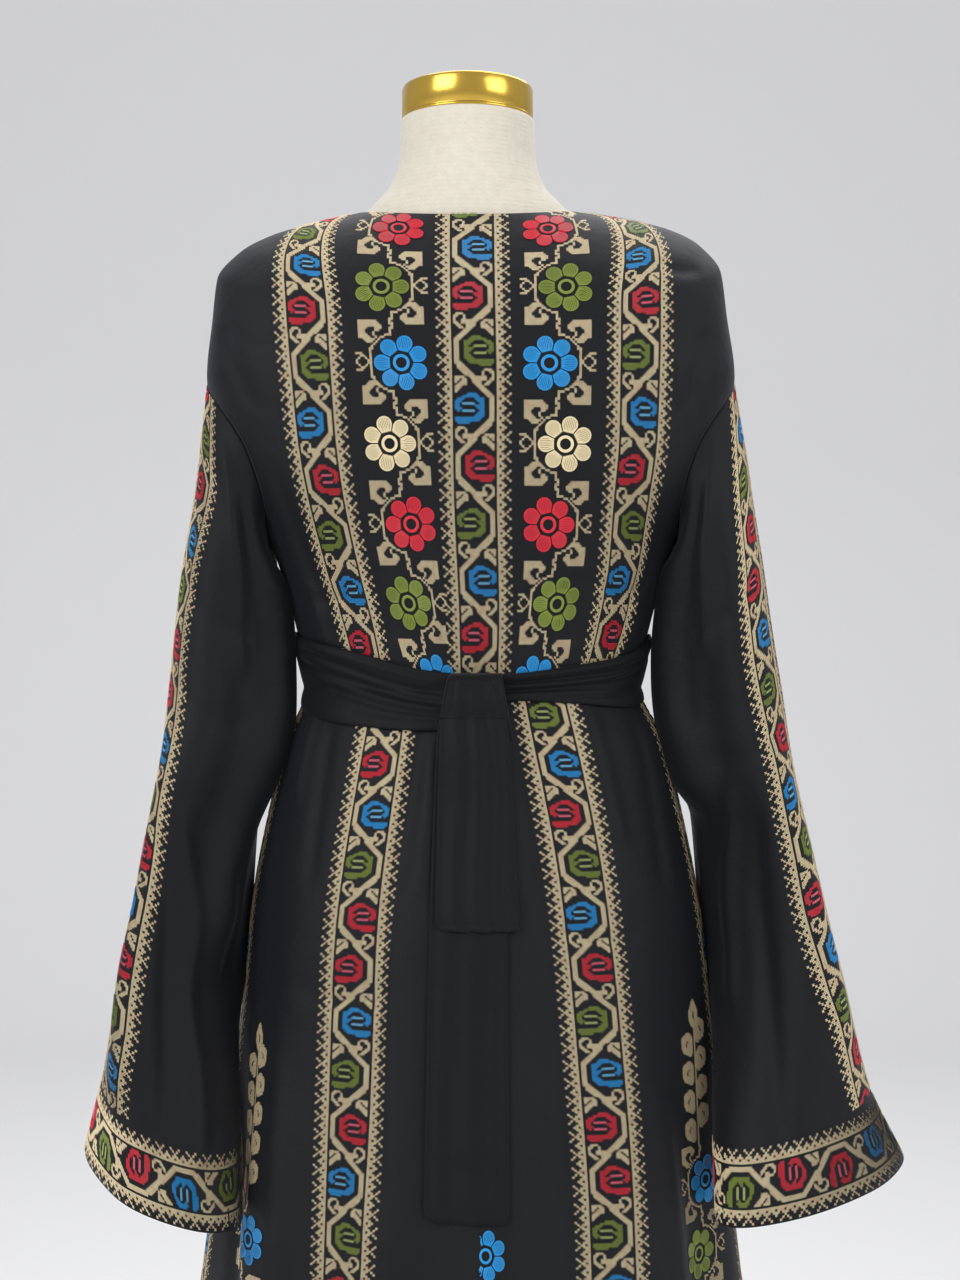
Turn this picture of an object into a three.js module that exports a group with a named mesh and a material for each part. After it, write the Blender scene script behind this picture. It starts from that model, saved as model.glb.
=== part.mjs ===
// A long embroidered thobe with a tied sash, worn by a limbless dress form.
// Millimetres, +Z up. The garment's back faces -Y, and the origin is the centre of the base's underside.
// Every cloth piece is a thin wall round the space that it encloses, open at neck, cuffs and hem.

import * as THREE from 'three';

// Cloth
const wall = 2;
const seamGap = 0.3;
const restGap = 0.6;
const black = 0x1d1e22;
const linen = 0xe9e4da;
const gold = 0xc9a24a;

// Heights
const necklineHeight = 1424;
const armholeTop = 1282;
const underarm = 1148;
const waistHeight = 1028;
const hemHeight = 38;
const armholeMiddle = (armholeTop + underarm) / 2;
const armholeHalfHeight = (armholeTop - underarm) / 2;
const armholeReach = 84;
// A row of the bodice or of the form hangs from its ends to its middle by this power of its depth.
const sag = 1.4;
// A sleeve turns out of its armhole over this length, and its top stands this far off the armhole.
const sleeveBend = 110;
const sleeveGap = 1.6 * seamGap;

// Bodice rows. "side" is the height of a row's ends on the left, "lift" how much higher its right end is.
// left, right: half-widths. back, front: depths at the middle, where the row is at height backZ or frontZ.
// square: 2 is an ellipse, more is boxier.
const bodiceRows = [
  { side: 1424, lift: 1, left: 92, right: 92, back: 68, backZ: 1409, front: 78, frontZ: 1346, square: 2.0 },
  { side: 1416, lift: 3, left: 128, right: 133, back: 77, backZ: 1395, front: 85, frontZ: 1337, square: 2.2 },
  { side: 1406, lift: 5, left: 163, right: 168, back: 88, backZ: 1377, front: 93, frontZ: 1327, square: 2.5 },
  { side: 1392, lift: 6, left: 189, right: 193, back: 98, backZ: 1357, front: 101, frontZ: 1317, square: 2.9 },
  { side: 1370, lift: 6, left: 207, right: 210, back: 106, backZ: 1335, front: 108, frontZ: 1306, square: 3.2 },
  { side: 1335, lift: 4, left: 210, right: 214, back: 111, backZ: 1311, front: 114, frontZ: 1295, square: 3.5 },
  { side: 1282, lift: 0, left: 214, right: 220, back: 114, backZ: 1282, front: 119, frontZ: 1282, square: 3.7 },
  { side: 1215, lift: 0, left: 190, right: 198, back: 112, backZ: 1215, front: 127, frontZ: 1215, square: 3.8 },
  { side: 1148, lift: 0, left: 163, right: 172, back: 105, backZ: 1148, front: 116, frontZ: 1148, square: 3.0 },
  { side: 1090, lift: 0, left: 146, right: 155, back: 98, backZ: 1090, front: 104, frontZ: 1090, square: 2.6 },
  { side: 1028, lift: 0, left: 131, right: 140, back: 92, backZ: 1028, front: 95, frontZ: 1028, square: 2.3 },
];

// Skirt rows, flat all round: half-widths to the left and right, depths to the back and front.
const skirtRows = [
  { side: 1028, left: 131, right: 140, back: 92, front: 95, square: 2.3 },
  { side: 985, left: 145, right: 156, back: 105, front: 104, square: 2.3 },
  { side: 940, left: 158, right: 171, back: 118, front: 113, square: 2.25 },
  { side: 850, left: 179, right: 193, back: 139, front: 128, square: 2.2 },
  { side: 775, left: 186, right: 202, back: 150, front: 140, square: 2.15 },
  { side: 573, left: 216, right: 224, back: 180, front: 170, square: 2.1 },
  { side: 300, left: 250, right: 256, back: 214, front: 206, square: 2.0 },
  { side: 38, left: 280, right: 284, back: 244, front: 238, square: 2.0 },
];

// Skirt folds: where each ridge starts and ends, as a share of the way from the middle to a side seam,
// how far it stands out at the hem and how wide it is as a share of the same way.
const backFolds = [
  { from: -0.86, to: -0.84, depth: 6, width: 0.1 },
  { from: -0.58, to: -0.52, depth: 20, width: 0.12 },
  { from: -0.16, to: -0.24, depth: 17, width: 0.11 },
  { from: 0.02, to: 0.1, depth: 15, width: 0.12 },
  { from: 0.42, to: 0.46, depth: 22, width: 0.13 },
  { from: 0.82, to: 0.8, depth: 9, width: 0.1 },
];
const frontFolds = [
  { from: -0.82, to: -0.78, depth: 18, width: 0.12 },
  { from: -0.4, to: -0.46, depth: 22, width: 0.13 },
  { from: -0.05, to: -0.1, depth: 15, width: 0.12 },
  { from: 0.3, to: 0.28, depth: 19, width: 0.11 },
  { from: 0.72, to: 0.7, depth: 21, width: 0.13 },
];

// Sleeve rings. at: height of the ring's centre. out, back: where that centre is, outward and to the back.
// long: half-size along the line from the inner to the outer edge, thick: half-size across it.
// turn: degrees by which the outer edge swings to the front. tilt: how much higher the outer edge is.
const leftRings = [
  { at: 1215, out: 188.5, back: 0, long: 25.5, thick: 84, turn: 0, tilt: 67 },
  { at: 1150, out: 192, back: 4, long: 33, thick: 84, turn: 0, tilt: 45 },
  { at: 1080, out: 196, back: 8, long: 41, thick: 80, turn: 4, tilt: 30 },
  { at: 1010, out: 199, back: 14, long: 44, thick: 77, turn: 8, tilt: 22 },
  { at: 930, out: 213, back: 26, long: 32, thick: 80, turn: 14, tilt: 18 },
  { at: 850, out: 221, back: 47, long: 29, thick: 76, turn: 22, tilt: 17 },
  { at: 775, out: 229, back: 76, long: 36, thick: 65, turn: 30, tilt: 19 },
  { at: 700, out: 233, back: 94, long: 54, thick: 56, turn: 33, tilt: 23 },
  { at: 645, out: 237, back: 106, long: 71, thick: 50, turn: 36, tilt: 27 },
];
const rightRings = [
  { at: 1215, out: 196, back: 0, long: 24, thick: 84, turn: 0, tilt: 67 },
  { at: 1150, out: 201, back: 4, long: 34, thick: 84, turn: 0, tilt: 45 },
  { at: 1080, out: 205, back: 8, long: 42, thick: 80, turn: 4, tilt: 30 },
  { at: 1010, out: 212, back: 14, long: 45, thick: 77, turn: 8, tilt: 22 },
  { at: 930, out: 228, back: 26, long: 37, thick: 78, turn: 12, tilt: 18 },
  { at: 850, out: 239, back: 46, long: 37, thick: 74, turn: 20, tilt: 17 },
  { at: 775, out: 249, back: 70, long: 47, thick: 64, turn: 26, tilt: 17 },
  { at: 700, out: 257, back: 86, long: 66, thick: 53, turn: 30, tilt: 16 },
  { at: 638, out: 271, back: 98, long: 88, thick: 46, turn: 31, tilt: 17 },
];

// Sleeve folds: degrees round the ring from the outer edge (0) by the back (90) to the inner edge (180).
const leftSleeveFolds = [
  { from: 118, to: 150, depth: -9, width: 24, top: 1150, bottom: 820 },
  { from: 62, to: 104, depth: 7, width: 20, top: 1000, bottom: 620 },
  { from: -120, to: -95, depth: -9, width: 26, top: 1120, bottom: 700 },
];
const rightSleeveFolds = [
  { from: 122, to: 140, depth: -9, width: 24, top: 1150, bottom: 820 },
  { from: 84, to: 70, depth: 6, width: 20, top: 1050, bottom: 700 },
  { from: -110, to: -80, depth: -9, width: 26, top: 1120, bottom: 700 },
];

// Sash: heights of its upper and lower edge at the sides and at the knot.
const sash = { sideTop: 1074, sideBottom: 1018, knotTop: 1040, knotBottom: 998, thick: 3 };
const knot = { x: 5, z: 1024, halfWidth: 26, halfHeight: 17, halfDepth: 11.5, standsOff: 101.2 };
// The powers that square the knot's section and its profile.
const knotSquare = { around: 0.6, up: 0.55 };
// The tails hang from under the knot, this far out from the skirt, and come in to it by tailDropLow.
const tailDrop = 9;
const tailDropLow = 935;
const tailDropOver = 60;
const tailGap = 0.4;
const shortTail = { top: 1006.6, bottom: 845, left: [-20, -24], right: [30, 41], layer: 1 };
const longTail = { top: 1006.6, bottom: 617, left: [-21, -32], right: [30, 33], layer: 0 };

// Dress form: torso rows from the top of the neck down, the same columns as the bodice's.
const formRows = [
  { side: 1501, half: 56, back: 56, backZ: 1501, front: 56, frontZ: 1501, square: 2.0 },
  { side: 1470, half: 57, back: 57, backZ: 1469, front: 57, frontZ: 1467, square: 2.0 },
  { side: 1446, half: 65, back: 61, backZ: 1442, front: 60, frontZ: 1432, square: 2.0 },
  { side: 1431, half: 79, back: 63, backZ: 1421, front: 64, frontZ: 1388, square: 2.0 },
  { side: 1421, half: 90.5, back: 64.5, backZ: 1405, front: 71.5, frontZ: 1350, square: 2.0 },
  { side: 1413, half: 126.5, back: 73, backZ: 1391, front: 79, frontZ: 1335, square: 2.2 },
  { side: 1403, half: 159, back: 84, backZ: 1373, front: 87.5, frontZ: 1323, square: 2.5 },
  { side: 1387, half: 182, back: 93, backZ: 1353, front: 97, frontZ: 1312, square: 2.7 },
  { side: 1364, half: 193, back: 100, backZ: 1331, front: 103, frontZ: 1300, square: 2.8 },
  { side: 1329, half: 195, back: 104, backZ: 1306, front: 108, frontZ: 1288, square: 2.8 },
  { side: 1275, half: 184, back: 107, backZ: 1275, front: 113, frontZ: 1272, square: 2.6 },
  { side: 1215, half: 165, back: 105, backZ: 1215, front: 120, frontZ: 1215, square: 2.4 },
  { side: 1148, half: 150, back: 98, backZ: 1148, front: 109, frontZ: 1148, square: 2.3 },
  { side: 1028, half: 124, back: 85, backZ: 1028, front: 88, frontZ: 1028, square: 2.2 },
  { side: 950, half: 145, back: 101, backZ: 950, front: 96, frontZ: 950, square: 2.2 },
  { side: 870, half: 162, back: 114, backZ: 870, front: 101, frontZ: 870, square: 2.2 },
  { side: 815, half: 160, back: 110, backZ: 815, front: 98, frontZ: 815, square: 2.2 },
  { side: 788, half: 148, back: 98, backZ: 788, front: 88, frontZ: 788, square: 2.2 },
  { side: 778, half: 128, back: 80, backZ: 778, front: 72, frontZ: 778, square: 2.2 },
];
const capRadius = 55;
const capBottom = 1501.3;
const capHeight = 27;
const capBevel = 2;
const poleRadius = 14;
const baseRadius = 185;
const baseThickness = 12;
const baseBevel = 2;

// How finely the pieces are drawn
const columnsPerPanel = 20;
const armholeSteps = 12;
const shoulderSteps = 6;
const sideSteps = 4;
const skirtColumns = 40;
const sashSteps = 3;
const skirtHeights = [1028, 1005, 982, 950, 910, 860, 800, 730, 650, 560, 440, 280, 38];
const sleeveSides = 2 * armholeSteps;
const sleeveSteps = 15;
const sectionSteps = 48;

// A smooth curve through one column of a table: cubic between neighbours, with no overshoot.
function column(rows, key, name) {
  const sorted = [...rows].sort((a, b) => a[key] - b[key]);
  const xs = sorted.map((row) => row[key]);
  const ys = sorted.map((row) => row[name]);
  const steps = xs.slice(1).map((x, i) => (ys[i + 1] - ys[i]) / (x - xs[i]));
  const slopes = ys.map((y, i) => {
    if (i === 0 || i === ys.length - 1) {
      return steps[Math.min(i, steps.length - 1)];
    }
    const before = steps[i - 1];
    const after = steps[i];
    return before * after > 0 ? (2 * before * after) / (before + after) : 0;
  });
  return (value) => {
    const inside = Math.min(Math.max(value, xs[0]), xs[xs.length - 1]);
    let i = 0;
    while (i < xs.length - 2 && inside > xs[i + 1]) {
      i += 1;
    }
    const width = xs[i + 1] - xs[i];
    const t = (inside - xs[i]) / width;
    const bend = (ys[i + 1] - ys[i]) * (3 - 2 * t) * t * t;
    const lead = slopes[i] * width * t * (1 - t) * (1 - t);
    const tail = slopes[i + 1] * width * t * t * (1 - t);
    return ys[i] + bend + lead - tail;
  };
}

function columns(rows, key) {
  const names = Object.keys(rows[0]).filter((name) => name !== key);
  return Object.fromEntries(names.map((name) => [name, column(rows, key, name)]));
}

const bodice = columns(bodiceRows, 'side');
const skirt = columns(skirtRows, 'side');
const form = columns(formRows, 'side');

function smooth(value) {
  const t = Math.min(Math.max(value, 0), 1);
  return t * t * (3 - 2 * t);
}

// A quarter of a section, from the middle (share 0) to the side (share 1), evenly by length.
// Returns the place across and deep, as parts of the half-width and the depth, and the quarter's length.
function quarter(halfWidth, depth, square, share) {
  const across = [0];
  const deep = [1];
  const length = [0];
  for (let i = 1; i <= sectionSteps; i += 1) {
    const angle = (i / sectionSteps) * (Math.PI / 2);
    across.push(Math.sin(angle) ** (2 / square));
    deep.push(i === sectionSteps ? 0 : Math.cos(angle) ** (2 / square));
    const dx = (across[i] - across[i - 1]) * halfWidth;
    const dy = (deep[i] - deep[i - 1]) * depth;
    length.push(length[i - 1] + Math.hypot(dx, dy));
  }
  const total = length[sectionSteps];
  const target = Math.min(Math.max(share, 0), 1) * total;
  let i = 0;
  while (i < sectionSteps - 1 && target > length[i + 1]) {
    i += 1;
  }
  const t = (target - length[i]) / (length[i + 1] - length[i]);
  return {
    across: across[i] + (across[i + 1] - across[i]) * t,
    deep: deep[i] + (deep[i + 1] - deep[i]) * t,
    total,
  };
}

// The bodice's outer surface. face is -1 for the back and 1 for the front.
// share runs from the left side (-1) over the middle (0) to the right side (1).
function bodicePoint(face, share, side) {
  const isRight = share > 0;
  const half = isRight ? bodice.right(side) : bodice.left(side);
  const depth = face < 0 ? bodice.back(side) : bodice.front(side);
  const middleZ = face < 0 ? bodice.backZ(side) : bodice.frontZ(side);
  const endZ = side + (isRight ? bodice.lift(side) : 0);
  const place = quarter(half, depth, bodice.square(side), Math.abs(share));
  const x = (isRight ? 1 : -1) * half * place.across;
  const z = endZ + (middleZ - endZ) * place.deep ** sag;
  return new THREE.Vector3(x, face * depth * place.deep, z);
}

// The share of a bodice row that its panel covers: less than 1 where the armhole cuts into it.
function coveredShare(face, isRight, side) {
  const height = (side - armholeMiddle) / armholeHalfHeight;
  if (Math.abs(height) >= 1) {
    return 1;
  }
  const half = isRight ? bodice.right(side) : bodice.left(side);
  const depth = face < 0 ? bodice.back(side) : bodice.front(side);
  const { total } = quarter(half, depth, bodice.square(side), 1);
  return 1 - (armholeReach * Math.sqrt(1 - height * height)) / total;
}

// A fold grows over the upper part of the skirt's length, then keeps growing a little to the hem.
// Beside its ridge is a trough, this part as deep and this many times as wide, by squares.
const foldGrowth = { over: 0.55, atFirst: 0.55, later: 0.45 };
const trough = { depth: 0.35, width: 5 };
// Folds fade out beyond this share, so that the side seams meet.
const foldFree = 0.93;

function skirtFold(face, share, z) {
  const down = (waistHeight - z) / (waistHeight - hemHeight);
  const grown = smooth(down / foldGrowth.over) * (foldGrowth.atFirst + foldGrowth.later * down);
  const nearSeam = 1 - smooth((Math.abs(share) - foldFree) / (1 - foldFree));
  let out = 0;
  for (const fold of face < 0 ? backFolds : frontFolds) {
    const middle = fold.from + (fold.to - fold.from) * Math.sqrt(Math.max(down, 0));
    const away = (share - middle) / fold.width;
    out += fold.depth * (Math.exp(-away * away) - trough.depth * Math.exp(-(away * away) / trough.width));
  }
  return out * grown * nearSeam;
}

// The skirt's outer surface, with its folds standing out along the section's own direction.
function skirtPoint(face, share, z) {
  const isRight = share > 0;
  const half = isRight ? skirt.right(z) : skirt.left(z);
  const depth = face < 0 ? skirt.back(z) : skirt.front(z);
  const place = quarter(half, depth, skirt.square(z), Math.abs(share));
  const x = (isRight ? 1 : -1) * half * place.across;
  const y = face * depth * place.deep;
  const outward = new THREE.Vector2(x / (half * half), y / (depth * depth)).normalize();
  const fold = skirtFold(face, share, z);
  return new THREE.Vector3(x + outward.x * fold, y + outward.y * fold, z);
}

function sleeveFold(folds, degrees, z) {
  let out = 0;
  for (const fold of folds) {
    const down = Math.min(Math.max((fold.top - z) / (fold.top - fold.bottom), 0), 1);
    const middle = fold.from + (fold.to - fold.from) * down;
    const away = (((degrees - middle + 540) % 360) - 180) / fold.width;
    out += fold.depth * Math.exp(-away * away) * Math.sin(Math.PI * Math.min(down * 0.8 + 0.1, 1));
  }
  return out;
}

function sleeveRing(rings, folds, direction, degrees, at) {
  const angle = THREE.MathUtils.degToRad(degrees);
  const turn = THREE.MathUtils.degToRad(rings.turn(at));
  const out = sleeveFold(folds, degrees, at);
  const along = (rings.long(at) + out) * Math.cos(angle);
  const across = (rings.thick(at) + out) * Math.sin(angle);
  const outward = rings.out(at) + along * Math.cos(turn) + across * Math.sin(turn);
  const y = -rings.back(at) + along * Math.sin(turn) - across * Math.cos(turn);
  return new THREE.Vector3(direction * outward, y, at + rings.tilt(at) * Math.cos(angle));
}

// The armhole seam, by degrees round it: 0 at its top, 90 at the back, 180 under the arm.
function armholePoint(direction, degrees) {
  const angle = THREE.MathUtils.degToRad(degrees);
  const side = armholeMiddle + armholeHalfHeight * Math.cos(angle);
  const face = Math.sin(angle) >= 0 ? -1 : 1;
  const share = coveredShare(face, direction > 0, side);
  return bodicePoint(face, direction * share, side);
}

// A sleeve's outer surface: its rings, bent at the top so that they start at the armhole seam.
function sleevePoint(sleeve, degrees, at) {
  const { rings, folds, direction, topAt } = sleeve;
  const point = sleeveRing(rings, folds, direction, degrees, at);
  const bent = 1 - Math.sin((Math.PI / 2) * Math.min((topAt - at) / sleeveBend, 1));
  if (bent > 0) {
    const seam = armholePoint(direction, degrees);
    seam.sub(sleeveRing(rings, folds, direction, degrees, topAt));
    point.addScaledVector(seam, bent);
  }
  const angle = THREE.MathUtils.degToRad(degrees);
  const apart = sleeveGap * Math.max(bent, 0);
  point.x += direction * apart * Math.abs(Math.sin(angle / 2));
  point.z -= apart * Math.max(Math.cos(angle), 0);
  return point;
}

function normalAt(grid, i, j, isClosed) {
  const rows = grid.length;
  const width = grid[0].length;
  const up = grid[Math.max(i - 1, 0)][j];
  const down = grid[Math.min(i + 1, rows - 1)][j];
  const before = isClosed ? grid[i][(j + width - 1) % width] : grid[i][Math.max(j - 1, 0)];
  const after = isClosed ? grid[i][(j + 1) % width] : grid[i][Math.min(j + 1, width - 1)];
  const across = new THREE.Vector3().subVectors(after, before);
  const along = new THREE.Vector3().subVectors(down, up);
  return new THREE.Vector3().crossVectors(across, along).normalize();
}

function meshFrom(name, vertices, triangles, color, finish) {
  let volume = 0;
  for (const [a, b, c] of triangles) {
    volume += vertices[a].dot(new THREE.Vector3().crossVectors(vertices[b], vertices[c]));
  }
  const outward = volume > 0 ? triangles : triangles.map(([a, b, c]) => [a, c, b]);
  const geometry = new THREE.BufferGeometry();
  geometry.setAttribute('position', new THREE.Float32BufferAttribute(vertices.flatMap((v) => [v.x, v.y, v.z]), 3));
  geometry.setIndex(outward.flat());
  geometry.computeVertexNormals();
  const material = new THREE.MeshStandardMaterial({ color, ...finish });
  material.name = name;
  const mesh = new THREE.Mesh(geometry, material);
  mesh.name = name;
  return mesh;
}

// A cloth wall from a grid of points on its outer surface: rows run down, and the wall lies behind them.
// A closed grid's rows go all the way round. sign tells which way the grid's own normals point.
// A panel's side and top edges are kept off the plane y = 0, where its neighbour's edges are.
function clothWall(name, grid, { isClosed = false, sign = 1, thickness = wall, face = 0 } = {}) {
  const rows = grid.length;
  const width = grid[0].length;
  const inner = grid.map((row, i) => row.map((point, j) => {
    const normal = normalAt(grid, i, j, isClosed).multiplyScalar(sign);
    const moved = point.clone().addScaledVector(normal, -thickness);
    if (face !== 0) {
      moved.y = face * Math.max(face * moved.y, seamGap / 2);
    }
    return moved;
  }));
  const vertices = [...grid.flat(), ...inner.flat()];
  const count = rows * width;
  const last = isClosed ? width : width - 1;
  const triangles = [];
  const quad = (a, b, c, d) => triangles.push([a, b, c], [a, c, d]);
  for (let i = 0; i < rows - 1; i += 1) {
    for (let j = 0; j < last; j += 1) {
      const k = (j + 1) % width;
      const a = i * width + j;
      const b = i * width + k;
      const c = (i + 1) * width + k;
      const d = (i + 1) * width + j;
      quad(a, b, c, d);
      quad(count + d, count + c, count + b, count + a);
    }
  }
  for (let j = 0; j < last; j += 1) {
    const k = (j + 1) % width;
    const bottom = (rows - 1) * width;
    quad(j, count + j, count + k, k);
    quad(bottom + k, count + bottom + k, count + bottom + j, bottom + j);
  }
  if (!isClosed) {
    for (let i = 0; i < rows - 1; i += 1) {
      const a = i * width;
      const b = (i + 1) * width;
      quad(a, b, count + b, count + a);
      quad(b + width - 1, a + width - 1, count + a + width - 1, count + b + width - 1);
    }
  }
  return meshFrom(name, vertices, triangles, black, { roughness: 0.72, metalness: 0 });
}

function range(count, value) {
  return Array.from({ length: count + 1 }, (_, i) => value(i / count));
}

function bodicePanel(name, face) {
  const heights = [
    ...range(shoulderSteps, (t) => necklineHeight + (armholeTop - necklineHeight) * t ** 1.35).slice(0, -1),
    ...range(armholeSteps, (t) => armholeMiddle + armholeHalfHeight * Math.cos(Math.PI * t)),
    ...range(sideSteps, (t) => underarm + (waistHeight + seamGap / 2 - underarm) * t).slice(1),
  ];
  const grid = heights.map((side) => range(columnsPerPanel, (t) => {
    const share = 2 * t - 1;
    const point = bodicePoint(face, share * coveredShare(face, share > 0, side), side);
    point.y = face * Math.max(face * point.y, seamGap / 2);
    return point;
  }));
  return clothWall(name, grid, { sign: face < 0 ? -1 : 1, face });
}

function skirtPanel(name, face) {
  const grid = skirtHeights.map((z) => range(skirtColumns, (t) => {
    const point = skirtPoint(face, 2 * t - 1, Math.min(z, waistHeight - seamGap / 2));
    point.y = face * Math.max(face * point.y, seamGap / 2);
    return point;
  }));
  return clothWall(name, grid, { sign: face < 0 ? -1 : 1, face });
}

function sleeveTube(name, sleeve) {
  const grid = range(sleeveSteps, (t) => {
    const at = sleeve.topAt + (sleeve.bottomAt - sleeve.topAt) * t ** 1.15;
    return range(sleeveSides, (r) => sleevePoint(sleeve, 360 * r, at)).slice(0, -1);
  });
  return clothWall(name, grid, { isClosed: true, sign: sleeve.direction });
}

// The waist's surface at any height that the sash covers.
function waistPoint(face, share, z) {
  return z >= waistHeight ? bodicePoint(face, share, z) : skirtPoint(face, share, z);
}

function sashWrap() {
  const around = 2 * skirtColumns;
  const grid = range(sashSteps, (down) => range(around, (t) => {
    const face = t < 0.5 ? -1 : 1;
    const share = t < 0.5 ? 4 * t - 1 : 3 - 4 * t;
    const toKnot = face < 0 ? (1 - Math.abs(share)) ** 1.2 : 0;
    const top = sash.sideTop + (sash.knotTop - sash.sideTop) * toKnot;
    const bottom = sash.sideBottom + (sash.knotBottom - sash.sideBottom) * toKnot;
    const z = top + (bottom - top) * down;
    const point = waistPoint(face, share, z);
    const outward = new THREE.Vector2(point.x, point.y * 1.5).normalize();
    const puff = sash.thick + restGap + seamGap + 1.2 * Math.sin(Math.PI * down);
    return point.add(new THREE.Vector3(outward.x * puff, outward.y * puff, 0));
  }).slice(0, -1));
  return clothWall('sash_wrap', grid, { isClosed: true, sign: -1, thickness: sash.thick });
}

// A closed body from rings of points, with a point in the middle of each end.
function ringBody(name, grid, color, finish) {
  const width = grid[0].length;
  const vertices = grid.flat();
  const triangles = [];
  for (let i = 0; i < grid.length - 1; i += 1) {
    for (let j = 0; j < width; j += 1) {
      const k = (j + 1) % width;
      triangles.push([i * width + j, i * width + k, (i + 1) * width + k]);
      triangles.push([i * width + j, (i + 1) * width + k, (i + 1) * width + j]);
    }
  }
  for (const i of [0, grid.length - 1]) {
    const middle = new THREE.Vector3();
    grid[i].forEach((point) => middle.addScaledVector(point, 1 / width));
    const centre = vertices.push(middle) - 1;
    for (let j = 0; j < width; j += 1) {
      const k = (j + 1) % width;
      triangles.push(i === 0 ? [centre, i * width + k, i * width + j] : [centre, i * width + j, i * width + k]);
    }
  }
  return meshFrom(name, vertices, triangles, color, finish);
}

// The knot is a squarish ball, flattened towards the back.
function sashKnot() {
  const middleY = -(knot.standsOff + knot.halfDepth);
  const power = (value, exponent) => Math.sign(value) * Math.abs(value) ** exponent;
  const grid = range(9, (down) => {
    const tilt = Math.PI * (0.06 + 0.88 * down);
    const size = Math.sin(tilt) ** knotSquare.up;
    return range(20, (t) => {
      const angle = 2 * Math.PI * t;
      return new THREE.Vector3(
        knot.x + knot.halfWidth * size * power(Math.cos(angle), knotSquare.around),
        middleY + knot.halfDepth * size * power(Math.sin(angle), knotSquare.around),
        knot.z + knot.halfHeight * power(Math.cos(tilt), knotSquare.up),
      );
    }).slice(0, -1);
  });
  return ringBody('sash_knot', grid, black, { roughness: 0.72, metalness: 0 });
}

// A tail lies on the skirt's back, and the upper one lies on the lower.
function sashTail(name, tail) {
  const between = skirtHeights.filter((z) => z < tail.top - 5 && z > tail.bottom + 8);
  const heights = [tail.top, ...between, tail.bottom];
  const grid = heights.map((z) => range(6, (t) => {
    const down = (tail.top - z) / (tail.top - tail.bottom);
    const left = tail.left[0] + (tail.left[1] - tail.left[0]) * Math.sqrt(down);
    const right = tail.right[0] + (tail.right[1] - tail.right[0]) * Math.sqrt(down);
    const x = left + (right - left) * t;
    const isRight = x > 0;
    const half = isRight ? skirt.right(z) : skirt.left(z);
    const share = x / quarter(half, skirt.back(z), skirt.square(z), 1).total;
    const under = skirtPoint(-1, share, z);
    const overSash = tailDrop * smooth((z - tailDropLow) / tailDropOver);
    const layers = (tail.layer + 1) * (wall + restGap) + tailGap;
    return new THREE.Vector3(x, under.y - overSash - layers, z);
  }));
  return clothWall(name, grid, { sign: -1 });
}

function formTorso() {
  const heights = [1501, 1484, 1470, 1457, 1446, 1438, 1431, 1426, 1421, 1417, 1413, 1408, 1403, 1395, 1387,
    1376, 1364, 1347, 1329, 1302, 1275, 1230, 1180, 1130, 1080, 1028, 980, 925, 870, 830, 800, 778];
  const grid = heights.map((side) => range(36, (t) => {
    const face = t < 0.5 ? -1 : 1;
    const share = t < 0.5 ? 4 * t - 1 : 3 - 4 * t;
    const depth = face < 0 ? form.back(side) : form.front(side);
    const middleZ = face < 0 ? form.backZ(side) : form.frontZ(side);
    const place = quarter(form.half(side), depth, form.square(side), Math.abs(share));
    const x = Math.sign(share) * form.half(side) * place.across;
    return new THREE.Vector3(x, face * depth * place.deep, side + (middleZ - side) * place.deep ** sag);
  }).slice(0, -1));
  return ringBody('form_torso', grid, linen, { roughness: 0.9, metalness: 0 });
}

// A round piece on the Z axis from an outline of radius and height pairs, first and last on the axis.
function turned(name, outline, color, finish) {
  const points = outline.map(([radius, height]) => new THREE.Vector2(radius, height));
  const geometry = new THREE.LatheGeometry(points, 48);
  geometry.rotateX(Math.PI / 2);
  const mesh = new THREE.Mesh(geometry, new THREE.MeshStandardMaterial({ color, ...finish }));
  mesh.name = name;
  return mesh;
}

function metalPieces() {
  const capTop = capBottom + capHeight;
  const metal = { roughness: 0.22, metalness: 1 };
  const torsoBottom = formRows[formRows.length - 1].side;
  return [
    turned('form_cap', [
      [0, capBottom],
      [capRadius, capBottom],
      [capRadius, capTop - capBevel],
      [capRadius - capBevel, capTop],
      [0, capTop + 1],
    ], gold, metal),
    turned('form_pole', [
      [0, baseThickness + seamGap],
      [poleRadius, baseThickness + seamGap],
      [poleRadius, torsoBottom - seamGap],
      [0, torsoBottom - seamGap],
    ], gold, metal),
    turned('form_base', [
      [0, 0],
      [baseRadius, 0],
      [baseRadius, baseThickness - baseBevel],
      [baseRadius - baseBevel, baseThickness],
      [0, baseThickness],
    ], gold, metal),
  ];
}

const leftSleeve = {
  rings: columns(leftRings, 'at'),
  folds: leftSleeveFolds,
  direction: -1,
  topAt: armholeMiddle,
  bottomAt: leftRings[leftRings.length - 1].at,
};
const rightSleeve = {
  rings: columns(rightRings, 'at'),
  folds: rightSleeveFolds,
  direction: 1,
  topAt: armholeMiddle,
  bottomAt: rightRings[rightRings.length - 1].at,
};

const thobe = new THREE.Group();
thobe.name = 'thobe';
thobe.add(
  bodicePanel('bodice_back', -1),
  bodicePanel('bodice_front', 1),
  sleeveTube('sleeve_left', leftSleeve),
  sleeveTube('sleeve_right', rightSleeve),
  skirtPanel('skirt_back', -1),
  skirtPanel('skirt_front', 1),
  sashWrap(),
  sashKnot(),
  sashTail('sash_tail_long', longTail),
  sashTail('sash_tail_short', shortTail),
);

const dressForm = new THREE.Group();
dressForm.name = 'dress_form';
dressForm.add(formTorso(), ...metalPieces());

const part = new THREE.Group();
part.name = 'thobe_on_dress_form';
part.add(thobe, dressForm);

export default part;
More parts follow.
